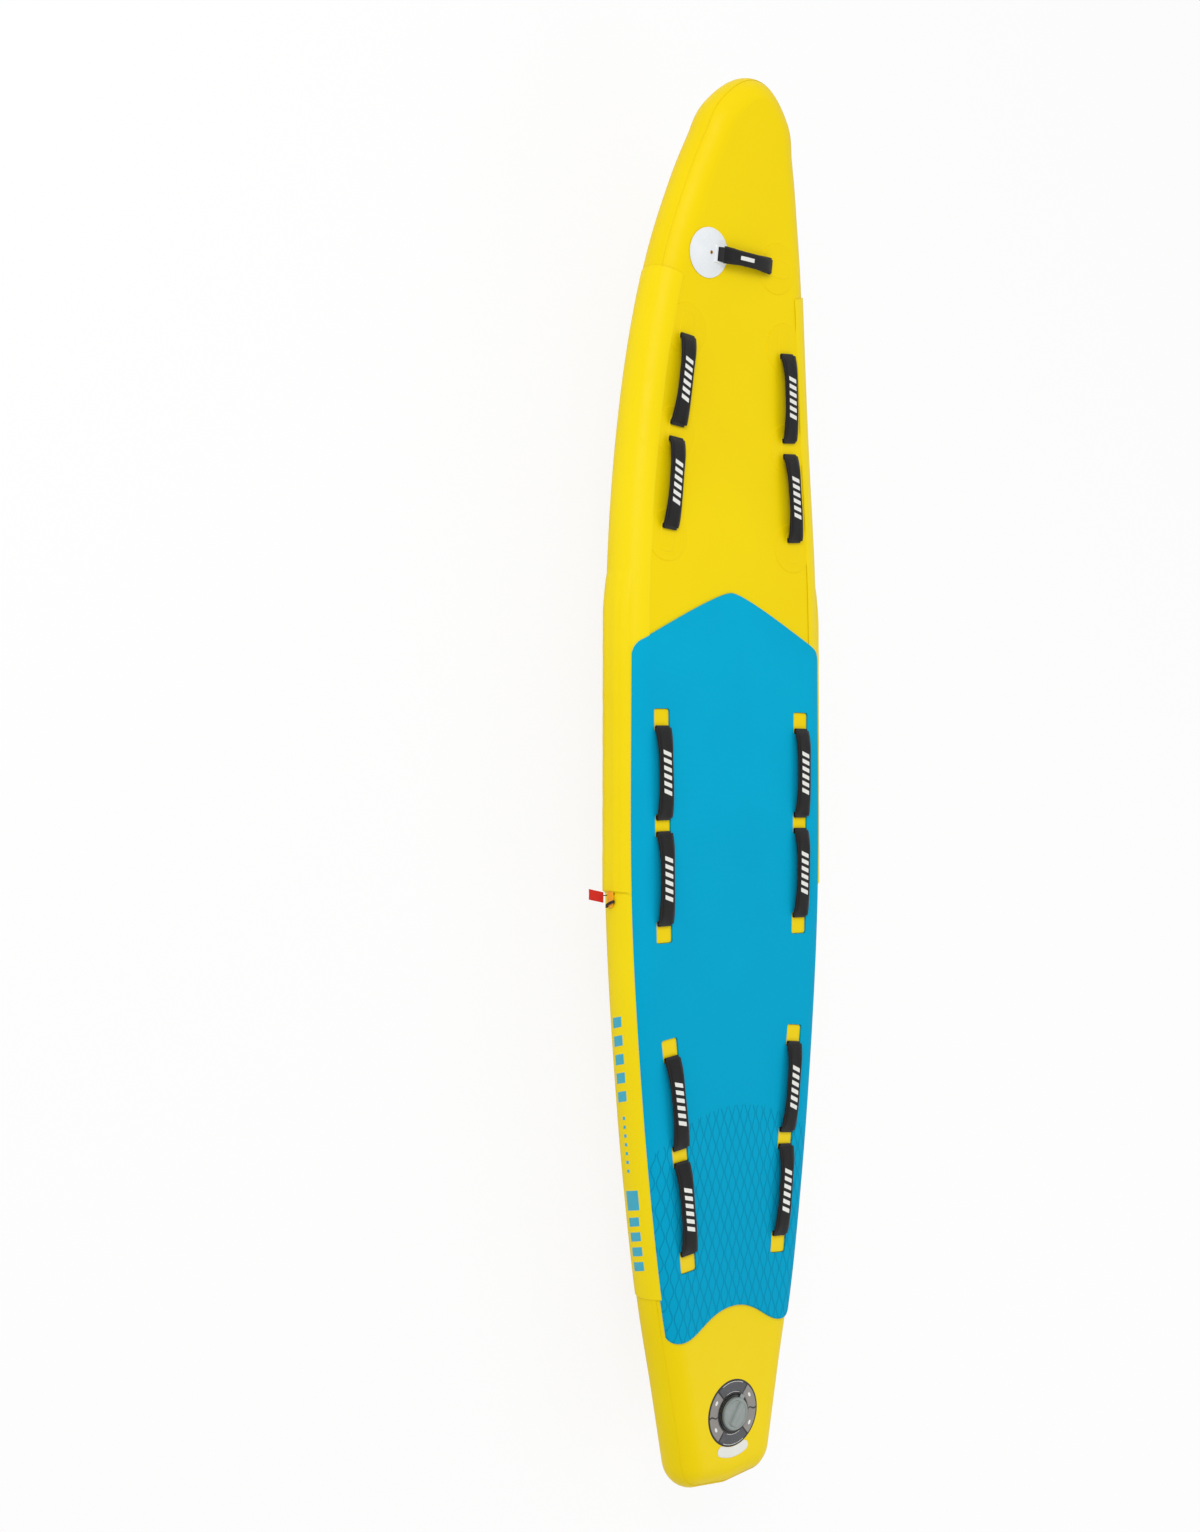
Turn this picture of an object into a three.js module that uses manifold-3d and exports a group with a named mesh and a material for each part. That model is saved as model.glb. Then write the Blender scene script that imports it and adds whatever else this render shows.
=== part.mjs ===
// Inflatable lifeguard rescue board, as an assembly of separate pieces.
// Millimetres. X runs along the board with the nose at +X, Y runs across it with port at +Y, Z is up.
// Each piece is drawn from the flat underside of the hull, half way along its centre line.
// The whole board is then raised, so that the tip of its fin stands at the origin's level.

import * as THREE from "three";
import { mergeVertices } from "three/addons/utils/BufferGeometryUtils.js";
import Module from "manifold-3d";

const wasm = await Module();
wasm.setup();

// Clearances
const fitGap = 0.3;
const runningGap = 0.5;
const cutOverrun = 4;
const weldTolerance = 1e-4;

// Hull
const boardLength = 3290;
const railRadius = 60;
const flatHalfWidth = 252;
const tailCorner = 7;
const noseLift = 134;
const rockerShare = 0.1680851;
const rockerStart = boardLength * rockerShare;
const rockerPower = 2.4;
const skinThickness = 5;

// Rail band, the tape that closes the edge of the chamber
const bandThickness = 1.2;
const bandDegrees = 35;

// Rail pockets, which carry the battens
const pocketThickness = 1.8;
const pocketForeShare = 0.3610942;
const pocketFore = boardLength * pocketForeShare;
const pocketForeSlant = 34;
const pocketAftShare = 0.3592705;
const pocketAft = boardLength * pocketAftShare;
const pocketOutset = 1;
const pocketLift = 0.5;
const pocketCorner = 40;

// Battens, their pull loops and the tags beside them
const battenLength = 660;
const battenAft = 296;
const battenTongue = 34;
const battenHeight = 21;
const battenThickness = 2.4;
const battenLift = 1;
const swellWall = 1.8;
const swellTopHeight = 30;
const swellHeight = 62;
const swellTaper = 50;
const loopWidth = 4.5;
const loopThickness = 0.8;
const loopBow = 5;
const loopInset = 9;
const loopTurn = THREE.MathUtils.degToRad(24);
const tagLength = 42;
const tagWidth = 24;
const tagSlant = 9;
const tagThickness = 1.6;
const tagDrop = 14;
const stemLength = 14;
const stemRadius = 1.3;

// Deck pad
const padTop = 6;
const padTurn = THREE.MathUtils.degToRad(48);
const padForeShare = 0.1316109;
const padFore = boardLength * padForeShare;
const padSweep = 132;
const padForeCorner = 40;
const padAftShare = 0.3729483;
const padAft = boardLength * padAftShare;
const padLobeShare = 0.3905775;
const padLobe = boardLength * padLobeShare;
const padLobeOffset = 158;
const padAftCorner = 46;
const windowLength = 53;
const windowWidth = 47;
const windowCorner = 6;

// Grab handles and what anchors them
const handlePitch = 240;
const sleeveLength = 206;
const sleeveWidth = 48;
const sleeveThickness = 10;
const sleeveEndHeight = 10.5;
const sleeveMidHeight = 22.5;
const webbingWidth = 38;
const webbingThickness = 1.8;
const webbingFoot = 7;
const tabThickness = 2.1;
const patchRadius = 60;
const patchThickness = 1.1;
const patchTabLength = 77;
const patchTabWidth = 42;

// Nose handle and its moulded disc
const noseStationShare = 0.3696049;
const noseStation = boardLength * noseStationShare;
const discOffset = 109;
const discRadius = 58;
const discSeat = 0.9;
const discRim = 2;
const discDome = 9;
const insertRadius = 4.2;
const insertBore = 2.2;
const insertDepth = 5;
const noseStrapWidth = 32;
const noseSleeveWidth = 40;
const barOffset = 78;
const barRadius = 2.5;
const barHeight = 7.2;
const earThickness = 4;
const earFore = 12;
const earAft = 50;
const earTop = 12.5;
const slotFloor = 1.7;
const slotLength = 23;
const barLoopRadius = 8.4;
const noseSleeveAft = 80;
const noseSleeveAftHeight = 12.5;
const noseSleeveCrown = 7;
const noseAnchorOffset = 113;

// Inflation valve
const valveInset = 173;
const valveStation = boardLength / 2 - valveInset;
const labelOuterRadius = 76;
const labelInnerRadius = 42.5;
const labelThickness = 1.4;
const blankLabelWidth = 24;
const blankLabelThickness = 0.9;
const blankLabelTurn = THREE.MathUtils.degToRad(31);
const gasketThickness = 1;
const flangeRadius = 41;
const flangeThickness = 2.6;
const collarRadius = 25.5;
const collarHeight = 4;
const barrelRadius = 23;
const valveBore = 17;
const valveDepth = 50;
const seatRadius = 12;
const seatThickness = 3;
const spiderDepth = 32;
const spiderThickness = 3;
const spiderHoleRadius = 4;
const nutRadius = 33;
const nutThickness = 9;
const cavityRadius = 37;
const cavityDepth = 78;
const plungerRadius = 15.5;
const plungerDisc = 2.5;
const pinRadius = 3;
const pinHeadRadius = 7.5;
const pinHeadThickness = 2.5;
const pinHeadDepth = 7;
const springRadius = 5.6;
const springWire = 0.8;
const springTurns = 5;
const capRadius = 37;
const capSkirt = 3;
const capTop = 4.3;
const sealThickness = 1.2;
const gripLength = 58;
const gripWidth = 15;
const gripHeight = 5;
const gripTurn = THREE.MathUtils.degToRad(-35);
const capTabReach = 9;
const capTabWidth = 14;
const capTabThickness = 2;

// Fin and fin box
const boxInset = 543;
const boxStation = boardLength / 2 - boxInset;
const boxLength = 248;
const boxWidth = 48;
const boxHeight = 20;
const boxEdge = 4;
const basePlateThickness = 1.6;
const basePlateLength = 344;
const basePlateWidth = 150;
const finSlotLength = 214;
const finSlotDepth = 16;
const channelWidth = 14;
const channelHeight = 6;
const channelLip = 6;
const finLead = 57;
const finRoot = 191;
const finDepth = 139;
const finThickness = 7.6;
const finTipThickness = 3;
const finEdge = 0.8;
const finTabLength = 140;
const finTabInset = 15;
const finTabHeight = 14;
const tangLength = 18;
const tangThickness = 3;
const screwRadius = 2.2;
const screwInset = 10;
const screwHeadRadius = 3.5;
const screwHeadHeight = 2.4;
const plateLength = 14;
const plateThickness = 3;

// Turns round the rail at which every layer of the hull has its corners, in degrees from the equator
const railTurns = [-90, -69, -52, -bandDegrees, -17.5, 0, 17.5, bandDegrees, 52, 69, 90];

// Edge of the flat deck from the tail corner to the nose: share of the length from tail to nose,
// share of the half width, and the number of steps to the next row
const outlineShares = [
  [0.0045, 0.34, 2],
  [0.0589, 0.47, 2],
  [0.1391, 0.663, 2],
  [0.2594, 0.852, 2],
  [0.3997, 0.986, 2],
  [0.5404, 1, 2],
  [0.6607, 0.974, 2],
  [0.7807, 0.846, 2],
  [0.8704, 0.685, 3],
  [0.9292, 0.506, 3],
  [0.9639, 0.365, 2],
  [0.9847, 0.262, 3],
  [1, 0, 0],
];

// Rows of handles: the middle of each as a share of the board's length, and its anchors from fore to aft
// as shares of the flat deck's half width there
const handleRows = [
  { row: "front", stationShare: 0.2413374, anchorShares: [0.805, 0.805, 0.82] },
  { row: "middle", stationShare: -0.0337386, anchorShares: [0.872, 0.857, 0.858] },
  { row: "rear", stationShare: -0.2613982, anchorShares: [0.852, 0.806, 0.816] },
];

// Fin blade: depth share, then leading and trailing edge as shares of the root length
const finShares = [
  [0, 0, 1],
  [0.2, 0.19, 1.105],
  [0.4, 0.4, 1.215],
  [0.6, 0.61, 1.32],
  [0.78, 0.82, 1.41],
  [0.9, 0.985, 1.468],
  [0.97, 1.09, 1.44],
  [1, 1.17, 1.33],
];

// Blade section: share of the chord from the leading edge, and share of the thickness there
const foilShares = [[0, 0.1], [0.12, 0.7], [0.35, 1], [0.7, 0.7]];

// Finishes
const paint = (color, roughness, metalness = 0) =>
  new THREE.MeshStandardMaterial({ color, roughness, metalness });
const yellowPvc = () => paint(0xf5d800, 0.42);
const yellowTape = () => paint(0xecd200, 0.45);
const cyanFoam = () => paint(0x00a7d0, 0.85);
const blackCloth = () => paint(0x1e1c1c, 0.8);
const blackWebbing = () => paint(0x141313, 0.75);
const whiteMoulding = () => paint(0xedf1f4, 0.25);
const whitePrint = () => paint(0xe9e9e3, 0.5);
const greyMoulding = () => paint(0x8b9395, 0.38);
const greyPrint = () => paint(0xa5a5a0, 0.5);
const blackRubber = () => paint(0x161618, 0.6);
const blackNylon = () => paint(0x1b1b1d, 0.45);
const yellowMoulding = () => paint(0xf0cb00, 0.45);
const orangeLaminate = () => paint(0xff9a30, 0.5);
const redPvc = () => paint(0xd73228, 0.5);
const amberUrethane = () => paint(0xb86200, 0.3);
const steel = () => paint(0xb9bcc0, 0.3, 1);
const brass = () => paint(0xb08d4a, 0.35, 1);

const board = new THREE.Group();

// One named piece in a group
function addPiece(name, geometry, material, parent = board) {
  const mesh = new THREE.Mesh(geometry, material);
  mesh.name = name;
  parent.add(mesh);
  return mesh;
}

// Geometry from corners and triangles, with its faces out
function geometryFrom(corners, triangles) {
  let volume = 0;
  for (const [a, b, c] of triangles) {
    const p = new THREE.Vector3(...corners[a]);
    const q = new THREE.Vector3(...corners[b]);
    const r = new THREE.Vector3(...corners[c]);
    volume += p.dot(q.cross(r));
  }
  const facing = volume < 0 ? triangles.map(([a, b, c]) => [a, c, b]) : triangles;
  const geometry = new THREE.BufferGeometry();
  geometry.setAttribute("position", new THREE.Float32BufferAttribute(corners.flat(), 3));
  geometry.setIndex(facing.flat());
  geometry.computeVertexNormals();
  return geometry;
}

// Two triangles between four corners
function addQuad(triangles, a, b, c, d) {
  triangles.push([a, b, c], [a, c, d]);
}

// Corners and triangles only, with shared corners merged
function bareGeometry(geometry) {
  const bare = geometry.clone();
  bare.deleteAttribute("normal");
  bare.deleteAttribute("uv");
  return mergeVertices(bare, weldTolerance);
}

// Solid for a boolean from a closed geometry
function solidOf(geometry) {
  const bare = bareGeometry(geometry);
  return new wasm.Manifold(
    new wasm.Mesh({
      numProp: 3,
      vertProperties: new Float32Array(bare.attributes.position.array),
      triVerts: new Uint32Array(bare.index.array),
    }),
  );
}

// Geometry from a boolean's solid
function geometryOf(solid) {
  const mesh = solid.getMesh();
  const geometry = new THREE.BufferGeometry();
  geometry.setAttribute("position", new THREE.BufferAttribute(new Float32Array(mesh.vertProperties), 3));
  geometry.setIndex(new THREE.BufferAttribute(new Uint32Array(mesh.triVerts), 1));
  geometry.computeVertexNormals();
  return geometry;
}

// A port piece as it is, or mirrored to starboard
function onSide(geometry, side) {
  if (side > 0) {
    return geometry;
  }
  const mirrored = bareGeometry(geometry).scale(1, -1, 1);
  mirrored.setIndex([...mirrored.index.array].reverse());
  mirrored.computeVertexNormals();
  return mirrored;
}

// Solid of revolution about Z from radius and height pairs
function turned(profile, facets = 24) {
  const points = profile.map(([radius, height]) => new THREE.Vector2(radius, height));
  return new THREE.LatheGeometry(points, facets).rotateX(Math.PI / 2);
}

// Disc or ring between two heights
function disc(outer, low, high, facets) {
  return turned([[0, low], [outer, low], [outer, high], [0, high]], facets);
}
function ring(outer, inner, low, high, facets) {
  return turned([[inner, low], [outer, low], [outer, high], [inner, high], [inner, low]], facets);
}

// Upright block from a plan shape
function uprightBlock(shape, low, high, curveSegments = 4) {
  const options = { depth: high - low, bevelEnabled: false, curveSegments };
  return new THREE.ExtrudeGeometry(shape, options).translate(0, 0, low);
}

// Block along the board from a shape drawn across and up
function lengthwiseBlock(shape, aft, fore) {
  const turn = new THREE.Matrix4().makeBasis(
    new THREE.Vector3(0, 1, 0),
    new THREE.Vector3(0, 0, 1),
    new THREE.Vector3(1, 0, 0),
  );
  return new THREE.ExtrudeGeometry(shape, { depth: fore - aft, bevelEnabled: false })
    .applyMatrix4(turn)
    .translate(aft, 0, 0);
}

// Shape from corner pairs
function shapeOf(points) {
  return new THREE.Shape(points.map(([x, y]) => new THREE.Vector2(x, y)));
}

// Plain block between two corners
function block([x0, y0, z0], [x1, y1, z1]) {
  const box = new THREE.BoxGeometry(x1 - x0, y1 - y0, z1 - z0);
  return box.translate((x0 + x1) / 2, (y0 + y1) / 2, (z0 + z1) / 2);
}

// Rectangle with round corners, and a long shape with half-round ends, about the origin
function roundedRectangle(length, width, corner) {
  const shape = new THREE.Shape();
  const x = length / 2 - corner;
  const y = width / 2 - corner;
  shape.absarc(x, -y, corner, -Math.PI / 2, 0);
  shape.absarc(x, y, corner, 0, Math.PI / 2);
  shape.absarc(-x, y, corner, Math.PI / 2, Math.PI);
  shape.absarc(-x, -y, corner, Math.PI, 1.5 * Math.PI);
  return shape;
}
function stadium(length, width) {
  const shape = new THREE.Shape();
  const x = (length - width) / 2;
  shape.absarc(x, 0, width / 2, -Math.PI / 2, Math.PI / 2);
  shape.absarc(-x, 0, width / 2, Math.PI / 2, 1.5 * Math.PI);
  return shape;
}

// Lift of the nose rocker at a station
function rocker(x) {
  const share = (x - rockerStart) / (boardLength / 2 - rockerStart);
  return share > 0 ? noseLift * share ** rockerPower : 0;
}

// The band round the nose and tail is the outermost layer there
const bandStand = fitGap + bandThickness;
const flatHalfLength = boardLength / 2 - railRadius - bandStand;
const deckTop = 2 * railRadius;

// Stations of the flat deck's edge, round port from the middle of the tail to the nose tip.
// Each has its place in plan and the direction in which the rail bulges.
function portStations() {
  const knots = outlineShares.map(
    ([along, across]) => new THREE.Vector2(flatHalfLength * (2 * along - 1), flatHalfWidth * across),
  );
  const past = knots[knots.length - 2].clone();
  past.y = -past.y;
  const curve = new THREE.SplineCurve([...knots, past]);
  const stations = [{ x: -flatHalfLength, y: 0, nx: -1, ny: 0 }];
  const start = curve.getTangent(0);
  const lastTurn = Math.atan2(start.x, -start.y);
  const cornerSteps = 3;
  for (let step = 0; step < cornerSteps; step++) {
    const turn = THREE.MathUtils.lerp(Math.PI, lastTurn, step / cornerSteps);
    stations.push({
      x: knots[0].x + tailCorner * (Math.cos(turn) - Math.cos(lastTurn)),
      y: knots[0].y + tailCorner * (Math.sin(turn) - Math.sin(lastTurn)),
      nx: Math.cos(turn),
      ny: Math.sin(turn),
    });
  }
  outlineShares.forEach(([, , steps], row) => {
    for (let step = 0; step < steps; step++) {
      const at = (row + step / steps) / knots.length;
      const point = curve.getPoint(at);
      const tangent = curve.getTangent(at);
      stations.push({ x: point.x, y: point.y, nx: -tangent.y, ny: tangent.x });
    }
  });
  stations.push({ x: flatHalfLength, y: 0, nx: 1, ny: 0 });
  return stations;
}
const portEdge = portStations();
const starboardEdge = portEdge
  .slice(1, -1)
  .reverse()
  .map((station) => ({ ...station, y: -station.y, ny: -station.ny }));
const edge = [...portEdge, ...starboardEdge];

// Half width of the flat deck, and lift and slope of its flat strips, at a station
function stripAt(x) {
  const after = portEdge.findIndex((station, index) => index > 1 && station.x >= x);
  return [portEdge[after - 1], portEdge[after]];
}
function flatEdge(x) {
  const [a, b] = stripAt(x);
  return THREE.MathUtils.mapLinear(x, a.x, b.x, a.y, b.y);
}
function deckLift(x) {
  const [a, b] = stripAt(x);
  return THREE.MathUtils.mapLinear(x, a.x, b.x, rocker(a.x), rocker(b.x));
}
function deckSlope(x) {
  const [a, b] = stripAt(x);
  return Math.atan((rocker(b.x) - rocker(a.x)) / (b.x - a.x));
}

// Point on the half-round rail, standing off the chamber
function railPoint(station, degrees, stand) {
  const turn = THREE.MathUtils.degToRad(degrees);
  const reach = (railRadius + stand) * Math.cos(turn);
  const x = station.x + station.nx * reach;
  const y = station.y + station.ny * reach;
  return [x, y, railRadius + (railRadius + stand) * Math.sin(turn) + rocker(x)];
}

// Whole hull form, standing off the chamber by the same amount all over
function hullForm(stand) {
  const corners = railTurns.flatMap((degrees) => edge.map((station) => railPoint(station, degrees, stand)));
  const triangles = [];
  const count = edge.length;
  for (let row = 0; row < railTurns.length - 1; row++) {
    for (let k = 0; k < count; k++) {
      const a = row * count + k;
      const b = row * count + ((k + 1) % count);
      addQuad(triangles, a, b, b + count, a + count);
    }
  }
  const top = (railTurns.length - 1) * count;
  for (let k = 0; k < portEdge.length - 1; k++) {
    const [port, portNext] = [k, k + 1];
    const [star, starNext] = [(count - k) % count, count - k - 1];
    if (k > 0) {
      triangles.push([port, star, portNext], [top + port, top + portNext, top + star]);
    }
    if (portNext !== starNext) {
      triangles.push([star, starNext, portNext], [top + star, top + portNext, top + starNext]);
    }
  }
  return geometryFrom(corners, triangles);
}
const hullSolids = new Map();
function hullSolid(stand) {
  if (!hullSolids.has(stand)) {
    hullSolids.set(stand, solidOf(hullForm(stand)));
  }
  return hullSolids.get(stand);
}

// Skin on the hull between two stand-offs, where it lies inside a plan shape
const wellAbove = deckTop + noseLift + railRadius;
function skin(low, high, plan, bottom = railRadius, curveSegments = 10) {
  const inside = solidOf(uprightBlock(plan, bottom, wellAbove, curveSegments));
  return hullSolid(high).subtract(hullSolid(low)).intersect(inside);
}

// Ring-shaped strip between matching rows of outer and inner points
function closedStrip(outerRows, innerRows) {
  const rows = outerRows.length;
  const width = outerRows[0].length;
  const inner = rows * width;
  const triangles = [];
  for (let row = 0; row < rows; row++) {
    const here = row * width;
    const next = ((row + 1) % rows) * width;
    for (let column = 0; column < width - 1; column++) {
      const [a, b, c, d] = [here + column, here + column + 1, next + column + 1, next + column];
      addQuad(triangles, a, d, c, b);
      addQuad(triangles, inner + a, inner + b, inner + c, inner + d);
    }
    const near = [here, inner + here, inner + next, next];
    const far = [next, inner + next, inner + here, here].map((corner) => corner + width - 1);
    addQuad(triangles, ...near);
    addQuad(triangles, ...far);
  }
  return geometryFrom([...outerRows.flat(), ...innerRows.flat()], triangles);
}

// Sides of a loft through rings of corners, and through a second set inside them where there is one
function loftedSides(rings, holeRings = []) {
  const corners = [];
  const triangles = [];
  const ends = [];
  const loops = holeRings.length ? [rings, holeRings] : [rings];
  loops.forEach((loop, hole) => {
    const base = corners.length;
    const size = loop[0].length;
    loop.forEach((points) => corners.push(...points));
    for (let row = 0; row < loop.length - 1; row++) {
      for (let k = 0; k < size; k++) {
        const here = base + row * size;
        const face = [here + k, here + ((k + 1) % size), here + size + ((k + 1) % size), here + size + k];
        addQuad(triangles, ...(hole ? face.reverse() : face));
      }
    }
    ends.push({ base, size, far: base + (loop.length - 1) * size });
  });
  return { corners, triangles, ends };
}

// Band of one section along a path in the upright plane, with an optional slot all through it.
// Path points are along and up; section points are across and out.
function swept(path, section, slot = []) {
  const frames = path.map(([along, up], index) => {
    const [fromAlong, fromUp] = path[Math.max(index - 1, 0)];
    const [toAlong, toUp] = path[Math.min(index + 1, path.length - 1)];
    return { along, up, tilt: Math.atan2(toUp - fromUp, toAlong - fromAlong) };
  });
  const ringsOf = (points) =>
    frames.map(({ along, up, tilt }) =>
      points.map(([across, out]) => [along - out * Math.sin(tilt), across, up + out * Math.cos(tilt)]),
    );
  const { corners, triangles, ends } = loftedSides(ringsOf(section), slot.length ? ringsOf(slot) : []);
  const flat = (points) => points.map(([across, out]) => new THREE.Vector2(across, out));
  const caps = THREE.ShapeUtils.triangulateShape(flat(section), slot.length ? [flat(slot)] : []);
  const place = (index, end) =>
    index < section.length ? ends[0][end] + index : ends[1][end] + index - section.length;
  for (const [a, b, c] of caps) {
    triangles.push([place(a, "base"), place(c, "base"), place(b, "base")]);
    triangles.push([place(a, "far"), place(b, "far"), place(c, "far")]);
  }
  return geometryFrom(corners, triangles);
}

// Section of webbing, and the fuller one of a padded sleeve
function flatSection(width, thickness) {
  const [x, y] = [width / 2, thickness / 2];
  return [[-x, -y], [x, -y], [x, y], [-x, y]];
}
function softSection(width, thickness) {
  const count = 10;
  const fullnessShare = 0.55;
  const full = (value) => Math.sign(value) * Math.abs(value) ** fullnessShare;
  return Array.from({ length: count }, (_, index) => {
    const turn = ((index + 0.5) / count) * 2 * Math.PI;
    return [(full(Math.cos(turn)) * width) / 2, (full(Math.sin(turn)) * thickness) / 2];
  });
}

// Anchors of a row of handles on the port side, from fore to aft, with the way the row runs there
function rowAnchors({ stationShare, anchorShares }) {
  const places = anchorShares.map((share, index) => {
    const x = boardLength * stationShare + handlePitch * (1 - index);
    return new THREE.Vector2(x, flatEdge(x) * share);
  });
  return places.map((place, index) => {
    const fore = places[Math.max(index - 1, 0)];
    const aft = places[Math.min(index + 1, places.length - 1)];
    return { place, turn: Math.atan2(fore.y - aft.y, fore.x - aft.x) };
  });
}
const [frontRow, ...padRows] = handleRows;
const padAnchors = padRows.flatMap(rowAnchors);

// Plan shape moved to an anchor and turned along its row
function planAt(shape, { place, turn }, curveSegments = 3) {
  const centre = new THREE.Vector2();
  const points = shape.getPoints(curveSegments).map((point) => point.rotateAround(centre, turn).add(place));
  return new THREE.Shape(points);
}

// Air chamber, with the tabs welded to it that anchor the middle and rear handles,
// and with the pocket that the inflation valve hangs in
const tabFace = fitGap + tabThickness;
function airChamber() {
  const bore = disc(barrelRadius + runningGap, deckTop - skinThickness - cutOverrun, deckTop + cutOverrun);
  const cavity = disc(cavityRadius, deckTop - cavityDepth, deckTop - skinThickness);
  const pocket = solidOf(bore).add(solidOf(cavity)).translate([-valveStation, 0, 0]);
  const tab = roundedRectangle(windowLength - 2 * fitGap, windowWidth - 2 * fitGap, windowCorner - fitGap);
  let chamber = hullSolid(0).subtract(pocket);
  for (const anchor of padAnchors) {
    const welded = uprightBlock(planAt(tab, anchor), deckTop - skinThickness, deckTop + tabFace);
    chamber = chamber.add(solidOf(welded)).add(solidOf(onSide(welded, -1)));
  }
  return geometryOf(chamber);
}
addPiece("air_chamber", airChamber(), yellowPvc());

// Rail band
function railBand() {
  const turns = railTurns.filter((degrees) => Math.abs(degrees) <= bandDegrees);
  const rows = (stand) => edge.map((station) => turns.map((degrees) => railPoint(station, degrees, stand)));
  return closedStrip(rows(bandStand), rows(fitGap));
}
addPiece("rail_band", railBand(), yellowTape());

// Plan of the deck pad, grown by a margin
function padPlan(margin) {
  const side = (x) => flatEdge(x) + (railRadius + padTop) * Math.cos(padTurn) + margin;
  const foreCorner = padFore - padSweep;
  const foreSide = foreCorner - padForeCorner;
  const aftSide = -padLobe + padAftCorner;
  const half = new THREE.Path();
  half.moveTo(padFore + margin, 0);
  half.bezierCurveTo(
    padFore + margin,
    padForeCorner,
    foreCorner + padForeCorner + margin,
    side(foreCorner) - 2 * padForeCorner,
    foreCorner + padForeCorner / 4 + margin,
    side(foreCorner) - padForeCorner / 2,
  );
  half.quadraticCurveTo(foreCorner + margin, side(foreCorner), foreSide, side(foreSide));
  portEdge
    .map((station) => station.x)
    .filter((x) => x > aftSide && x < foreSide)
    .reverse()
    .forEach((x) => half.lineTo(x, side(x)));
  half.lineTo(aftSide, side(aftSide));
  half.quadraticCurveTo(-padLobe - margin, side(-padLobe), -padLobe - margin, padLobeOffset);
  half.bezierCurveTo(
    -padLobe - margin,
    (2 * padLobeOffset) / 3,
    -padAft - margin,
    padLobeOffset / 2,
    -padAft - margin,
    0,
  );
  const port = half.getPoints(5);
  const starboard = port
    .slice(1, -1)
    .reverse()
    .map((point) => new THREE.Vector2(point.x, -point.y));
  return new THREE.Shape([...port, ...starboard]);
}

// Deck pad, with windows where the middle and rear handles are anchored
function deckPad() {
  let pad = skin(fitGap, padTop, padPlan(0));
  const window = roundedRectangle(windowLength, windowWidth, windowCorner);
  for (const anchor of padAnchors) {
    const cut = uprightBlock(planAt(window, anchor), deckTop - cutOverrun, deckTop + padTop + cutOverrun);
    pad = pad.subtract(solidOf(cut)).subtract(solidOf(onSide(cut, -1)));
  }
  return geometryOf(pad);
}
addPiece("deck_pad", deckPad(), cyanFoam());

// Rail pocket with the swelling over its batten.
// The batten lies straight, just clear of the pocket's floor where the board is widest.
const pocketStand = bandStand + fitGap;
const pocketFace = pocketStand + pocketThickness;
const battenFore = battenLength - battenAft;
const mouthAft = battenAft - battenTongue;
const widest = Math.max(...portEdge.map((station) => station.y));
const battenInner = widest + railRadius + pocketStand + battenLift;
const battenOuter = battenInner + battenThickness;

function pocketPlan() {
  const inner = (x) => flatEdge(x) + pocketOutset;
  const outer = widest + 2 * railRadius;
  const foreInner = pocketFore - pocketForeSlant;
  const aftInner = -pocketAft + pocketCorner;
  return shapeOf([
    [pocketFore + pocketCorner, outer],
    [-pocketAft, outer],
    [-pocketAft, inner(-pocketAft) + pocketCorner],
    [-pocketAft + pocketCorner / 3, inner(-pocketAft) + pocketCorner / 3],
    [aftInner, inner(aftInner)],
    ...portEdge.filter(({ x }) => x > aftInner && x < foreInner).map(({ x }) => [x, inner(x)]),
    [foreInner, inner(foreInner)],
  ]);
}

function pocketSwell() {
  const faceRadius = railRadius + pocketFace;
  const top = battenOuter + runningGap + swellWall;
  const foot = widest + Math.sqrt(faceRadius ** 2 - (swellHeight / 2) ** 2);
  const section = shapeOf([
    [widest, railRadius - swellHeight / 2],
    [foot, railRadius - swellHeight / 2],
    [top, railRadius - swellTopHeight / 2],
    [top, railRadius + swellTopHeight / 2],
    [foot, railRadius + swellHeight / 2],
    [widest, railRadius + swellHeight / 2],
  ]);
  const taper = shapeOf([
    [-mouthAft, widest],
    [battenFore + swellTaper, widest],
    [battenFore + swellTaper, foot],
    [battenFore + 2 * swellWall, top + swellWall],
    [-mouthAft, top + swellWall],
  ]);
  return solidOf(lengthwiseBlock(section, -mouthAft, battenFore + swellTaper))
    .intersect(solidOf(uprightBlock(taper, 0, deckTop)))
    .subtract(hullSolid(pocketStand));
}

function railPocket() {
  const tunnelHalf = battenHeight / 2 + runningGap;
  const tunnel = block(
    [-mouthAft - cutOverrun, widest + railRadius, railRadius - tunnelHalf],
    [battenFore + runningGap, battenOuter + runningGap, railRadius + tunnelHalf],
  );
  const underPad = uprightBlock(padPlan(fitGap), railRadius, wellAbove);
  return geometryOf(
    skin(pocketStand, pocketFace, pocketPlan(), pocketLift)
      .subtract(solidOf(underPad))
      .add(pocketSwell())
      .subtract(solidOf(tunnel)),
  );
}

// Batten with a rounded tongue
function batten() {
  const half = battenHeight / 2;
  const corner = half / 3;
  const outline = new THREE.Shape();
  outline.absarc(-battenAft + corner, half - corner, corner, Math.PI / 2, Math.PI);
  outline.absarc(-battenAft + corner, -half + corner, corner, Math.PI, 1.5 * Math.PI);
  outline.lineTo(battenFore, -half);
  outline.lineTo(battenFore, half);
  return new THREE.ExtrudeGeometry(outline, { depth: battenThickness, bevelEnabled: false, curveSegments: 3 })
    .rotateX(Math.PI / 2)
    .translate(0, battenOuter, railRadius);
}

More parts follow.
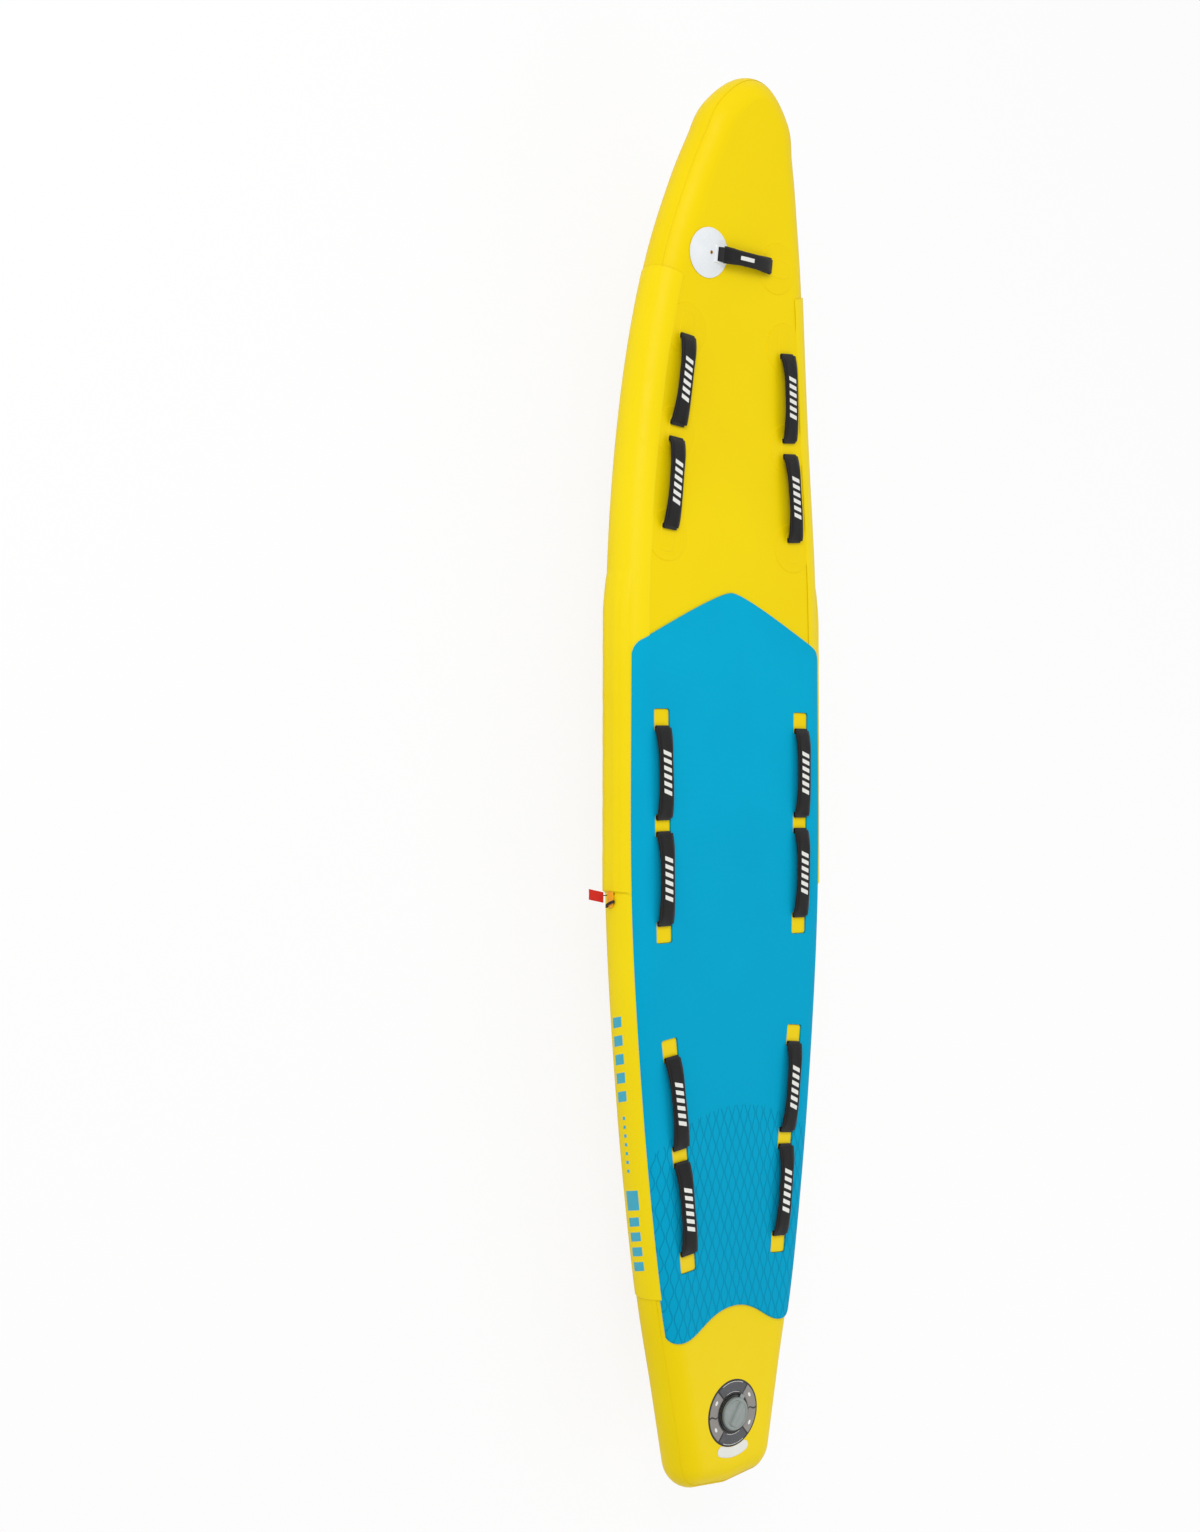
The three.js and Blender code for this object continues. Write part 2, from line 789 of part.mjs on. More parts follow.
// Cord loop round the batten's tongue, close behind it and bowed in front
function pullLoop() {
  const steps = 16;
  const squareness = 5;
  const middle = (battenInner + battenOuter) / 2;
  const rows = (stand) => {
    const upReach = battenHeight / 2 + loopBow / 2 + stand;
    const frontReach = battenThickness / 2 + loopBow + stand;
    const backReach = battenThickness / 2 + fitGap + stand;
    return Array.from({ length: steps }, (_, step) => {
      const turn = (step / steps) * 2 * Math.PI;
      const up = Math.cos(turn) * upReach;
      const front = Math.sin(turn);
      const out = front > 0 ? front * frontReach : -(Math.abs(front) ** (1 / squareness)) * backReach;
      return [-1, 1].map((edgeSide) => [
        -battenAft + loopInset + up * Math.tan(loopTurn) + (edgeSide * loopWidth) / 2,
        middle + out,
        railRadius + up,
      ]);
    });
  };
  return closedStrip(rows(loopThickness), rows(0));
}

// Cloth tag on a short cord stem that leaves the pocket under the batten
const tagRoot = new THREE.Vector3(-mouthAft - tagWidth / 4, 0, railRadius - tagDrop);
tagRoot.y = flatEdge(tagRoot.x) + Math.sqrt((railRadius + pocketFace) ** 2 - tagDrop ** 2) + fitGap;
function railTag() {
  const tip = stemLength + stemRadius;
  const stem = turned([[0, 0], [stemRadius, 0], [stemRadius, tip], [0, tip]], 8).rotateX(-Math.PI / 2);
  const half = tagWidth / 2;
  const shape = shapeOf([
    [half - tagSlant / 2, stemLength],
    [half + tagSlant / 2, stemLength + tagLength],
    [-half + tagSlant / 2, stemLength + tagLength],
    [-half - tagSlant / 2, stemLength],
  ]);
  const cloth = uprightBlock(shape, -tagThickness / 2, tagThickness / 2);
  return geometryOf(solidOf(stem).add(solidOf(cloth))).translate(tagRoot.x, tagRoot.y, tagRoot.z);
}

const sides = [["port", 1], ["starboard", -1]];
for (const [sideName, side] of sides) {
  addPiece(`rail_pocket_${sideName}`, onSide(railPocket(), side), yellowTape());
  addPiece(`batten_${sideName}`, onSide(batten(), side), orangeLaminate());
  addPiece(`batten_pull_loop_${sideName}`, onSide(pullLoop(), side), blackWebbing());
  addPiece(`rail_tag_${sideName}`, onSide(railTag(), side), redPvc());
}

// Welded patch of a front handle, with the tab that its webbing is stitched to
const patchFace = fitGap + patchThickness;
function anchorPatch(anchor) {
  const circle = new THREE.Shape().absarc(anchor.place.x, anchor.place.y, patchRadius, 0, 2 * Math.PI);
  const tab = planAt(stadium(patchTabLength, patchTabWidth), anchor, 5);
  return geometryOf(skin(fitGap, patchFace, circle).add(skin(fitGap, tabFace, tab)));
}

// Centre line of a handle from its fore end to its aft end, raised in the middle
const archSteps = 8;
function archPath(fore, aft, foreHeight, aftHeight, crown) {
  return Array.from({ length: archSteps + 1 }, (_, step) => {
    const share = step / archSteps;
    const rise = crown * (1 - (2 * share - 1) ** 2);
    return [
      THREE.MathUtils.lerp(fore, aft, share),
      THREE.MathUtils.lerp(foreHeight, aftHeight, share) + rise,
    ];
  });
}

// Fold of the webbing from the end of its sleeve down to the foot that is stitched to the tab
const footHeight = tabFace + fitGap + webbingThickness / 2;
function footFold([along, up], outward) {
  const radius = (up - footHeight) / 2;
  const steps = 4;
  const fold = Array.from({ length: steps + 1 }, (_, step) => {
    const turn = Math.PI * (0.5 - step / steps);
    return [
      along + outward * (runningGap + radius * Math.cos(turn)),
      footHeight + radius + radius * Math.sin(turn),
    ];
  });
  return [...fold, [along - outward * webbingFoot, footHeight]];
}

// Padded sleeve on a path, with the slot that its webbing runs in
function sleeveGeometry(path, width, strapWidth) {
  const slot = flatSection(strapWidth + 2 * runningGap, webbingThickness + 2 * runningGap);
  return swept(path, softSection(width, sleeveThickness), slot);
}
const grabPath = archPath(
  sleeveLength / 2,
  -sleeveLength / 2,
  sleeveEndHeight,
  sleeveEndHeight,
  sleeveMidHeight - sleeveEndHeight,
);
const grabWebbingPath = [
  ...footFold(grabPath[0], 1).reverse(),
  ...grabPath.slice(1, -1),
  ...footFold(grabPath[archSteps], -1),
];

// Grab handle between two anchors, square to the deck under its two feet
function addGrabHandle(name, foreAnchor, aftAnchor, sideName, side) {
  const middle = foreAnchor.place.clone().lerp(aftAnchor.place, 1 / 2);
  const run = foreAnchor.place.clone().sub(aftAnchor.place);
  const footReach = (sleeveLength / 2) * (run.x / run.length());
  const foreDeck = deckLift(middle.x + footReach);
  const aftDeck = deckLift(middle.x - footReach);
  const pitch = Math.atan((foreDeck - aftDeck) / (2 * footReach));
  const handle = new THREE.Group();
  handle.position.set(middle.x, side * middle.y, deckTop + (foreDeck + aftDeck) / 2);
  handle.rotation.set(0, -pitch, side * Math.atan2(run.y, run.x), "ZYX");
  board.add(handle);
  const webbing = swept(grabWebbingPath, flatSection(webbingWidth, webbingThickness));
  const sleeve = sleeveGeometry(grabPath, sleeveWidth, webbingWidth);
  addPiece(`handle_webbing_${name}_${sideName}`, webbing, blackWebbing(), handle);
  addPiece(`handle_sleeve_${name}_${sideName}`, sleeve, blackCloth(), handle);
}

for (const [sideName, side] of sides) {
  rowAnchors(frontRow).forEach((anchor, index) => {
    addPiece(`front_anchor_patch_${index + 1}_${sideName}`, onSide(anchorPatch(anchor), side), yellowPvc());
  });
  for (const row of handleRows) {
    const anchors = rowAnchors(row);
    anchors.slice(1).forEach((aftAnchor, index) => {
      addGrabHandle(`${row.row}_${index + 1}`, anchors[index], aftAnchor, sideName, side);
    });
  }
}

// Nose handle, in a group square to the deck at its station, with X across the strap
const noseHandle = new THREE.Group();
noseHandle.position.set(noseStation, 0, deckTop + deckLift(noseStation));
noseHandle.rotation.y = -deckSlope(noseStation);
board.add(noseHandle);

// Moulded disc with a boss for the strap's slot and bar, and a blind hole for its insert
const bossHalf = noseStrapWidth / 2 + runningGap + earThickness;
const domeFoot = discSeat + discRim;
const domeTop = domeFoot + discDome;
function noseDisc() {
  const domeSteps = 6;
  const dome = Array.from({ length: domeSteps + 1 }, (_, step) => {
    const share = 1 - step / domeSteps;
    return [discRadius * share, domeFoot + discDome * (1 - share ** 2) ** 1.5];
  });
  const body = turned([[0, discSeat], [discRadius, discSeat], ...dome]).translate(0, discOffset, 0);
  const boss = block(
    [-bossHalf, discOffset - earAft, discSeat],
    [bossHalf, discOffset - earFore, earTop],
  );
  const slot = block(
    [-bossHalf + earThickness, barOffset - slotLength / 2, slotFloor],
    [bossHalf - earThickness, barOffset + slotLength / 2, earTop + cutOverrun],
  );
  const hole = disc(insertRadius + fitGap, domeTop - insertDepth, domeTop + cutOverrun, 12);
  const barReach = bossHalf + cutOverrun;
  const barHole = disc(barRadius + fitGap, -barReach, barReach, 12).rotateY(Math.PI / 2);
  return geometryOf(
    solidOf(body)
      .add(solidOf(boss))
      .subtract(solidOf(slot))
      .subtract(solidOf(hole.translate(0, discOffset, 0)))
      .subtract(solidOf(barHole.translate(0, barOffset, barHeight))),
  );
}
addPiece("nose_disc", noseDisc(), whiteMoulding(), noseHandle);

// Threaded insert in the disc, and the bar that the strap goes round
const insert = ring(insertRadius, insertBore, domeTop - insertDepth + fitGap, domeTop, 12);
addPiece("nose_disc_insert", insert.translate(0, discOffset, 0), brass(), noseHandle);
const bar = disc(barRadius, -bossHalf, bossHalf, 12).rotateY(Math.PI / 2);
addPiece("nose_disc_bar", bar.translate(0, barOffset, barHeight), steel(), noseHandle);

// Nose strap from the loop round the bar to the foot on the anchor patch
const loopCentre = barHeight - barRadius - runningGap - webbingThickness / 2 + barLoopRadius;
const nosePath = archPath(
  barOffset,
  -noseSleeveAft,
  loopCentre + barLoopRadius,
  noseSleeveAftHeight,
  noseSleeveCrown,
);
function noseWebbing() {
  const steps = 6;
  const loop = Array.from({ length: steps + 1 }, (_, step) => {
    const turn = Math.PI * (step / steps - 0.5);
    const along = barOffset + runningGap + barLoopRadius * Math.cos(turn);
    return [along, loopCentre + barLoopRadius * Math.sin(turn)];
  });
  const tail = [barOffset - slotLength / 2 + 2 * runningGap, loopCentre - barLoopRadius];
  const path = [tail, ...loop, ...nosePath.slice(1, -1), ...footFold(nosePath[archSteps], -1)];
  return swept(path, flatSection(noseStrapWidth, webbingThickness)).rotateZ(Math.PI / 2);
}
const noseSleeve = sleeveGeometry(nosePath, noseSleeveWidth, noseStrapWidth).rotateZ(Math.PI / 2);
addPiece("nose_handle_webbing", noseWebbing(), blackWebbing(), noseHandle);
addPiece("nose_handle_sleeve", noseSleeve, blackCloth(), noseHandle);
const noseAnchor = { place: new THREE.Vector2(noseStation, -noseAnchorOffset), turn: Math.PI / 2 };
addPiece("nose_anchor_patch", anchorPatch(noseAnchor), yellowPvc());

// Inflation valve, in a group on the deck
const valve = new THREE.Group();
valve.position.set(-valveStation, 0, deckTop);
board.add(valve);
const gasketTop = fitGap + gasketThickness;
const flangeFoot = gasketTop + fitGap;
const flangeTop = flangeFoot + flangeThickness;
const collarTop = flangeTop + collarHeight;
const gasket = ring(flangeRadius - gasketThickness, barrelRadius + fitGap, fitGap, gasketTop);
addPiece("valve_gasket", gasket, blackRubber(), valve);

// Valve body: flange, collar and barrel, with a spider for the pin and a seat at its foot
function valveBody() {
  const shell = turned([
    [seatRadius, -valveDepth],
    [barrelRadius, -valveDepth],
    [barrelRadius, flangeFoot],
    [flangeRadius, flangeFoot],
    [flangeRadius, flangeTop],
    [collarRadius, flangeTop],
    [collarRadius, collarTop],
    [valveBore, collarTop],
    [valveBore, -spiderDepth],
    [pinRadius + runningGap, -spiderDepth],
    [pinRadius + runningGap, -spiderDepth - spiderThickness],
    [valveBore, -spiderDepth - spiderThickness],
    [valveBore, -valveDepth + seatThickness],
    [seatRadius, -valveDepth + seatThickness],
    [seatRadius, -valveDepth],
  ]);
  let body = solidOf(shell);
  const holes = 4;
  const low = -spiderDepth - 2 * spiderThickness;
  const high = -spiderDepth + spiderThickness;
  for (let index = 0; index < holes; index++) {
    const hole = disc(spiderHoleRadius, low, high, 12)
      .translate((pinRadius + valveBore) / 2, 0, 0)
      .rotateZ(((index + 0.5) / holes) * 2 * Math.PI);
    body = body.subtract(solidOf(hole));
  }
  return geometryOf(body);
}
addPiece("valve_body", valveBody(), blackNylon(), valve);
const nutTop = -skinThickness - fitGap;
addPiece("valve_nut", ring(nutRadius, barrelRadius + fitGap, nutTop - nutThickness, nutTop), blackNylon(), valve);

// Plunger: sealing disc under the seat, pin through the spider, and head to press
function plunger() {
  const discTop = -valveDepth - fitGap;
  const headFoot = -pinHeadDepth - pinHeadThickness;
  const profile = [
    [0, discTop - plungerDisc],
    [plungerRadius, discTop - plungerDisc],
    [plungerRadius, discTop],
    [pinRadius, discTop],
    [pinRadius, headFoot],
    [pinHeadRadius, headFoot],
    [pinHeadRadius, -pinHeadDepth],
    [0, -pinHeadDepth],
  ];
  return turned(profile, 20);
}
addPiece("valve_plunger", plunger(), greyMoulding(), valve);

// Coil of the return spring, between the spider and the pin's head
class SpringCurve extends THREE.Curve {
  getPoint(share) {
    const low = -spiderDepth + fitGap + springWire;
    const high = -pinHeadDepth - pinHeadThickness - fitGap - springWire;
    const turn = share * springTurns * 2 * Math.PI;
    const height = THREE.MathUtils.lerp(low, high, share);
    return new THREE.Vector3(springRadius * Math.cos(turn), springRadius * Math.sin(turn), height);
  }
}
function springGeometry() {
  const section = new THREE.Shape().absarc(0, 0, springWire, 0, 2 * Math.PI);
  const steps = springTurns * 8;
  return new THREE.ExtrudeGeometry(section, { steps, curveSegments: 3, extrudePath: new SpringCurve() });
}
addPiece("valve_spring", springGeometry(), steel(), valve);

// Valve cap with its grip and its tether tab, and the seal under it
const sealFoot = flangeTop + fitGap;
const sealTop = sealFoot + sealThickness;
const capFoot = sealTop + fitGap;
const capRoof = collarTop + 2 * fitGap;
const capFace = capRoof + capTop;
function valveCap() {
  const skirtInner = capRadius - capSkirt;
  const body = turned([
    [0, capRoof],
    [collarRadius + runningGap, capRoof],
    [collarRadius + runningGap, capFoot],
    [skirtInner, capFoot],
    [skirtInner, sealFoot],
    [capRadius, sealFoot],
    [capRadius, capFace - capTop / 2],
    [capRadius - capTop / 4, capFace - capTop / 6],
    [capRadius - capTop, capFace],
    [0, capFace],
  ]);
  const grip = uprightBlock(stadium(gripLength, gripWidth), capFace - capTop / 2, capFace + gripHeight, 5);
  const tab = block(
    [capRadius - capSkirt / 2, -capTabWidth / 2, capFoot],
    [capRadius + capTabReach, capTabWidth / 2, capFoot + capTabThickness],
  );
  return geometryOf(
    solidOf(body)
      .add(solidOf(grip.rotateZ(gripTurn)))
      .add(solidOf(tab.rotateZ(gripTurn))),
  );
}
const seal = ring(capRadius - capSkirt - fitGap, collarRadius + 2 * runningGap, sealFoot, sealTop);
addPiece("valve_cap_seal", seal, blackRubber(), valve);
addPiece("valve_cap", valveCap(), greyMoulding(), valve);

// Printed ring round the valve, and the blank label on its tail side
function valveSurround() {
  const disk = new THREE.Shape().absarc(-valveStation, 0, labelOuterRadius, 0, 2 * Math.PI);
  const hole = disc(labelInnerRadius, deckTop - cutOverrun, deckTop + cutOverrun);
  const face = skin(fitGap, fitGap + labelThickness, disk, railRadius, 16);
  return geometryOf(face.subtract(solidOf(hole.translate(-valveStation, 0, 0))));
}
function blankLabel() {
  const inner = labelOuterRadius + runningGap;
  const shape = new THREE.Shape();
  const [from, to] = [Math.PI - blankLabelTurn, Math.PI + blankLabelTurn];
  shape.absarc(-valveStation, 0, inner + blankLabelWidth, from, to);
  shape.absarc(-valveStation, 0, inner, to, from, true);
  return geometryOf(skin(fitGap, fitGap + blankLabelThickness, shape));
}
addPiece("valve_surround", valveSurround(), greyPrint());
addPiece("blank_label", blankLabel(), whitePrint());

// Fin box under the tail, in a group on the underside
const finGroup = new THREE.Group();
finGroup.position.set(-boxStation, 0, 0);
board.add(finGroup);
const plateFoot = -fitGap - basePlateThickness;
const boxFace = plateFoot - boxHeight;
const channelFloor = boxFace + channelLip;
const finSlotWidth = finThickness + 2 * runningGap;
function finBox() {
  const basePlate = uprightBlock(stadium(basePlateLength, basePlateWidth), plateFoot, -fitGap, 6);
  const body = uprightBlock(stadium(boxLength, boxWidth), boxFace + boxEdge, -fitGap - basePlateThickness / 2, 5);
  const crown = stadium(boxLength - boxEdge, boxWidth - boxEdge);
  const slot = block(
    [-finSlotLength / 2, -finSlotWidth / 2, boxFace - cutOverrun],
    [finSlotLength / 2, finSlotWidth / 2, boxFace + finSlotDepth],
  );
  const channel = block(
    [-finSlotLength / 2, -channelWidth / 2, channelFloor],
    [finSlotLength / 2, channelWidth / 2, channelFloor + channelHeight],
  );
  return geometryOf(
    solidOf(basePlate)
      .add(solidOf(body))
      .add(solidOf(uprightBlock(crown, boxFace, boxFace + 2 * boxEdge, 5)))
      .subtract(solidOf(slot))
      .subtract(solidOf(channel)),
  );
}
addPiece("fin_box", finBox(), yellowMoulding(), finGroup);

// Fin: a swept blade with a tab in the box's slot and a tang for its screw
const tabFore = finLead - finTabInset;
const screwStation = tabFore + screwInset;
function finBlade() {
  const rings = finShares.map(([depth, lead, trail]) => {
    const thickness = THREE.MathUtils.lerp(finThickness, finTipThickness, depth);
    const height = boxFace - fitGap - finDepth * depth;
    const half = foilShares.map(([chord, thick]) => [
      finLead - finRoot * THREE.MathUtils.lerp(lead, trail, chord),
      (thickness * thick) / 2,
      height,
    ]);
    half.push([finLead - finRoot * trail, finEdge / 2, height]);
    return [...half, ...half.map(([x, y, z]) => [x, -y, z]).reverse()];
  });
  const { corners, triangles, ends } = loftedSides(rings);
  const [{ base, size, far }] = ends;
  for (let k = 0; k < size / 2 - 1; k++) {
    const [a, b, c, d] = [k, k + 1, size - 2 - k, size - 1 - k];
    addQuad(triangles, base + d, base + c, base + b, base + a);
    addQuad(triangles, far + a, far + b, far + c, far + d);
  }
  return geometryFrom(corners, triangles);
}
function fin() {
  const half = finThickness / 2;
  const tab = block(
    [tabFore - finTabLength, -half, boxFace - fitGap - finEdge],
    [tabFore, half, boxFace + finTabHeight],
  );
  const tang = block(
    [tabFore - finEdge, -half, channelFloor - tangThickness],
    [tabFore + tangLength, half, channelFloor],
  );
  const hole = disc(screwRadius + fitGap, channelFloor - 2 * tangThickness, channelFloor + tangThickness, 12);
  return geometryOf(
    solidOf(finBlade())
      .add(solidOf(tab))
      .add(solidOf(tang))
      .subtract(solidOf(hole.translate(screwStation, 0, 0))),
  );
}
addPiece("fin", fin(), amberUrethane(), finGroup);

// Screw up through the tang into the plate that bears on the channel's lips
const platePlace = channelFloor + fitGap;
const plateTop = platePlace + plateThickness;
function finScrew() {
  const headTop = channelFloor - tangThickness - fitGap;
  const profile = [
    [0, headTop - screwHeadHeight],
    [screwHeadRadius, headTop - screwHeadHeight],
    [screwHeadRadius, headTop],
    [screwRadius, headTop],
    [screwRadius, plateTop],
    [0, plateTop],
  ];
  return turned(profile, 16).translate(screwStation, 0, 0);
}
function finPlate() {
  const across = channelWidth / 2 - runningGap;
  const plate = block(
    [screwStation - plateLength / 2, -across, platePlace],
    [screwStation + plateLength / 2, across, plateTop],
  );
  const hole = disc(screwRadius + fitGap, platePlace - cutOverrun, plateTop + cutOverrun, 16);
  return geometryOf(solidOf(plate).subtract(solidOf(hole.translate(screwStation, 0, 0))));
}
addPiece("fin_screw", finScrew(), steel(), finGroup);
addPiece("fin_plate", finPlate(), brass(), finGroup);

board.position.z = finDepth + fitGap - boxFace;

export default board;
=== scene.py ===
# %% [markdown]
# # An inflatable rescue board
# A lifeguard's rescue board is a long flat bag of coated fabric, pumped up until it is as hard as wood.
# This lesson dresses the imported CAD model of one in Blender. Each piece stands where its CAD solid stands,
# in metres, with X along the board to its nose, Y across it to port and Z up out of its deck.
# The CAD model is loaded first.

# %% Load the frame
import math

import bpy
import numpy as np
from mathutils import Matrix, Vector


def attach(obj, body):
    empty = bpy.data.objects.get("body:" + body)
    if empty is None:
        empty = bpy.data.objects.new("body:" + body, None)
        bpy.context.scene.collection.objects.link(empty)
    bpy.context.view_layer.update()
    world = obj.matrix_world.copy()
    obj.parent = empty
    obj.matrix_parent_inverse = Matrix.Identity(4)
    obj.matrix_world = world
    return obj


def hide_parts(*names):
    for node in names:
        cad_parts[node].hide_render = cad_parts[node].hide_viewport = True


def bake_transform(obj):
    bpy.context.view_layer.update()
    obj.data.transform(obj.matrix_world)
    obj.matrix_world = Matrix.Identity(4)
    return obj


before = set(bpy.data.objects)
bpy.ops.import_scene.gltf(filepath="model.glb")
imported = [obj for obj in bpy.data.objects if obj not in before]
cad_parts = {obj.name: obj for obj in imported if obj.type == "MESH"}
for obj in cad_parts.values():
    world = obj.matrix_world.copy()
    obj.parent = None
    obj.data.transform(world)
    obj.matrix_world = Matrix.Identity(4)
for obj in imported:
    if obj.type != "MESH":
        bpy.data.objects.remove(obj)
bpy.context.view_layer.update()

# %% [markdown]
# ## Small helpers
# A hex colour is written in display space, but Blender's shaders add light in linear space, so every colour
# goes through one function. The other helpers save typing: one adds a shader node with its settings and
# links, and one starts each model from a clean selection, because an operator acts on all that is selected.

# %% Colour and node helpers
MM = 0.001


def linear(colour):
    values = [int(colour[i:i + 2], 16) / 255 for i in (1, 3, 5)]
    return tuple(v / 12.92 if v <= 0.04045 else ((v + 0.055) / 1.055) ** 2.4 for v in values) + (1.0,)


def add_node(tree, kind, settings=None, links=None):
    made = tree.nodes.new(kind)
    for name, value in (settings or {}).items():
        if isinstance(name, str) and hasattr(made, name) and name not in made.inputs:
            setattr(made, name, value)
        else:
            made.inputs[name].default_value = value
    for name, source in (links or {}).items():
        tree.links.new(source, made.inputs[name])
    return made


def new_material(name, settings):
    material = bpy.data.materials.new(name)
    material.use_nodes = True
    tree = material.node_tree
    tree.nodes.clear()
    shader = add_node(tree, "ShaderNodeBsdfPrincipled", settings)
    output = add_node(tree, "ShaderNodeOutputMaterial", {}, {"Surface": shader.outputs[0]})
    return material, tree, shader, output


# %% Modelling helpers
def clear_selection():
    if bpy.context.object and bpy.context.object.mode != "OBJECT":
        bpy.ops.object.mode_set(mode="OBJECT")
    bpy.ops.object.select_all(action="DESELECT")


def pick(piece):
    clear_selection()
    piece.select_set(True)
    bpy.context.view_layer.objects.active = piece
    return piece


def rename(piece, name):
    piece.name = name
    piece.data.name = name
    return piece


def begin(kind, name, **settings):
    clear_selection()
    getattr(bpy.ops.mesh, f"primitive_{kind}_add")(**settings)
    return rename(bpy.context.object, name)


def settle(piece):
    pick(piece)
    bpy.ops.object.transform_apply(location=True, rotation=True, scale=True)
    return piece


def finish_with(piece, kind, **settings):
    pick(piece)
    modifier = piece.modifiers.new(kind.lower(), kind)
    for key, value in settings.items():
        setattr(modifier, key, value)
    bpy.ops.object.modifier_apply(modifier=modifier.name)
    return piece


def bevelled(piece, width, segments=3, angle=50):
    """Only edges sharper than the angle, in degrees, are bevelled."""
    sharp = {"limit_method": "ANGLE", "angle_limit": math.radians(angle)}
    return finish_with(piece, "BEVEL", width=width, segments=segments, **sharp)


def combined(piece, operation, cutters):
    """A Boolean with each cutter, which is gone afterwards."""
    for cutter in cutters:
        finish_with(piece, "BOOLEAN", operation=operation, solver="EXACT", object=cutter)
        bpy.data.objects.remove(cutter)
    return piece


def cut_with(piece, *cutters):
    return combined(piece, "DIFFERENCE", cutters)


def corners_of(piece):
    flat = np.empty(len(piece.data.vertices) * 3)
    piece.data.vertices.foreach_get("co", flat)
    return flat.reshape(-1, 3)


def move_corners(piece, places):
    piece.data.vertices.foreach_set("co", np.asarray(places, float).ravel())
    piece.data.update()
    return piece


def edit_all(piece, **steps):
    """Run mesh operators, given by name with their settings, on all of a piece."""
    pick(piece)
    bpy.ops.object.mode_set(mode="EDIT")
    bpy.ops.mesh.select_all(action="SELECT")
    for operator, settings in steps.items():
        getattr(bpy.ops.mesh, operator)(**settings)
    bpy.ops.object.mode_set(mode="OBJECT")
    return piece


def face_outward(piece):
    return edit_all(piece, normals_make_consistent={"inside": False})


def closed(piece, merge):
    """Weld a tube's seam and fill its open ends."""
    return edit_all(piece, remove_doubles={"threshold": merge}, fill_holes={"sides": 0})


def tidy(piece, merge=0.001 * MM, smooth=35):
    edit_all(piece, remove_doubles={"threshold": merge}, dissolve_degenerate={"threshold": merge / 4},
             normals_make_consistent={"inside": False})
    bpy.ops.object.shade_smooth_by_angle(angle=math.radians(smooth))
    return piece


def softened(piece, width, segments=3, angle=35):
    return tidy(bevelled(piece, width, segments, angle), smooth=angle)


def draped_grid(name, along, across, place):
    """A grid whose corners are moved to place(u, v), with u and v from 0 to 1."""
    piece = begin("grid", name, x_subdivisions=along, y_subdivisions=across, size=2)
    flat = corners_of(piece)
    return move_corners(piece, place((flat[:, 0] + 1) / 2, (flat[:, 1] + 1) / 2))


def dress(piece, material, body, slot, *replaced):
    piece.data.materials.clear()
    piece.data.materials.append(material)
    if body:
        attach(piece, body)
    if replaced:
        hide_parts(*replaced)
    return piece


# %% [markdown]
# ## Camera, light and floor
# The photograph looks down on the deck from the port side, with the nose up in the picture. The camera's
# place, turn and shift come from fitting known corners of the board. A photo studio's light tent is soft
# and comes from everywhere, so the world gives most of the light and one wide lamp gives the gloss.
# The floor is pale paper: it is white where the camera sees it lit, and it keeps the board's faint shadow.

# %% Camera
picture_width, picture_height = 1200, 1532
focal_pixels = 1915.2
centre_column, centre_row = 698.2, 697.8
turn_over, tip_up, roll = math.radians(41.239), math.radians(2.375), math.radians(-0.025)
distance = 4.592
sensor_width = 36
hull_level = 0.1612
target = Vector((-1 * MM, 0, hull_level))

toward = Vector((0, math.sin(turn_over), math.cos(turn_over)))
look = -toward
nose_up = Vector((1, 0, 0))
to_right = look.cross(nose_up)
look_2 = math.cos(tip_up) * look + math.sin(tip_up) * nose_up
up_2 = math.cos(tip_up) * nose_up - math.sin(tip_up) * look
right_2 = math.cos(roll) * to_right + math.sin(roll) * up_2
up_3 = math.cos(roll) * up_2 - math.sin(roll) * to_right

camera = bpy.data.objects.new("camera", bpy.data.cameras.new("camera"))
bpy.context.collection.objects.link(camera)
camera.data.sensor_width = sensor_width
camera.data.lens = focal_pixels * sensor_width / picture_height
camera.data.shift_x = (picture_width / 2 - centre_column) / picture_height
camera.data.shift_y = (centre_row - picture_height / 2) / picture_height
camera.data.clip_end = 100
turn = Matrix((right_2, up_3, -look_2)).transposed().to_4x4()
camera.matrix_world = Matrix.Translation(toward * distance + target) @ turn
bpy.context.scene.camera = camera
print("camera lens", round(camera.data.lens, 2), "mm")

# %% World and lamps
scene = bpy.context.scene
scene.view_settings.view_transform = "Standard"
world = bpy.data.worlds.new("light_tent")
scene.world = world
world.use_nodes = True
tree = world.node_tree
tree.nodes.clear()
path = add_node(tree, "ShaderNodeLightPath")
seen = path.outputs["Is Camera Ray"]
for ray in ("Is Glossy Ray", "Is Transmission Ray"):
    greater = add_node(tree, "ShaderNodeMath", {"operation": "MAXIMUM"}, {0: seen, 1: path.outputs[ray]})
    seen = greater.outputs[0]
tent = add_node(tree, "ShaderNodeBackground", {"Color": linear("#FFFFFF"), "Strength": 0.66})
paper = add_node(tree, "ShaderNodeBackground", {"Color": linear("#FFFFFF"), "Strength": 1.0})
both = add_node(tree, "ShaderNodeMixShader", {}, {0: seen, 1: tent.outputs[0], 2: paper.outputs[0]})
add_node(tree, "ShaderNodeOutputWorld", {}, {"Surface": both.outputs[0]})


lamp_aim = Vector((0, 0, 0.2))


def add_lamp(name, place, size, power):
    lamp = bpy.data.objects.new(name, bpy.data.lights.new(name, "AREA"))
    bpy.context.collection.objects.link(lamp)
    lamp.data.shape = "DISK"
    lamp.data.size = size
    lamp.data.energy = power
    lamp.location = place
    lamp.rotation_euler = (lamp_aim - Vector(place)).to_track_quat("-Z", "Y").to_euler()


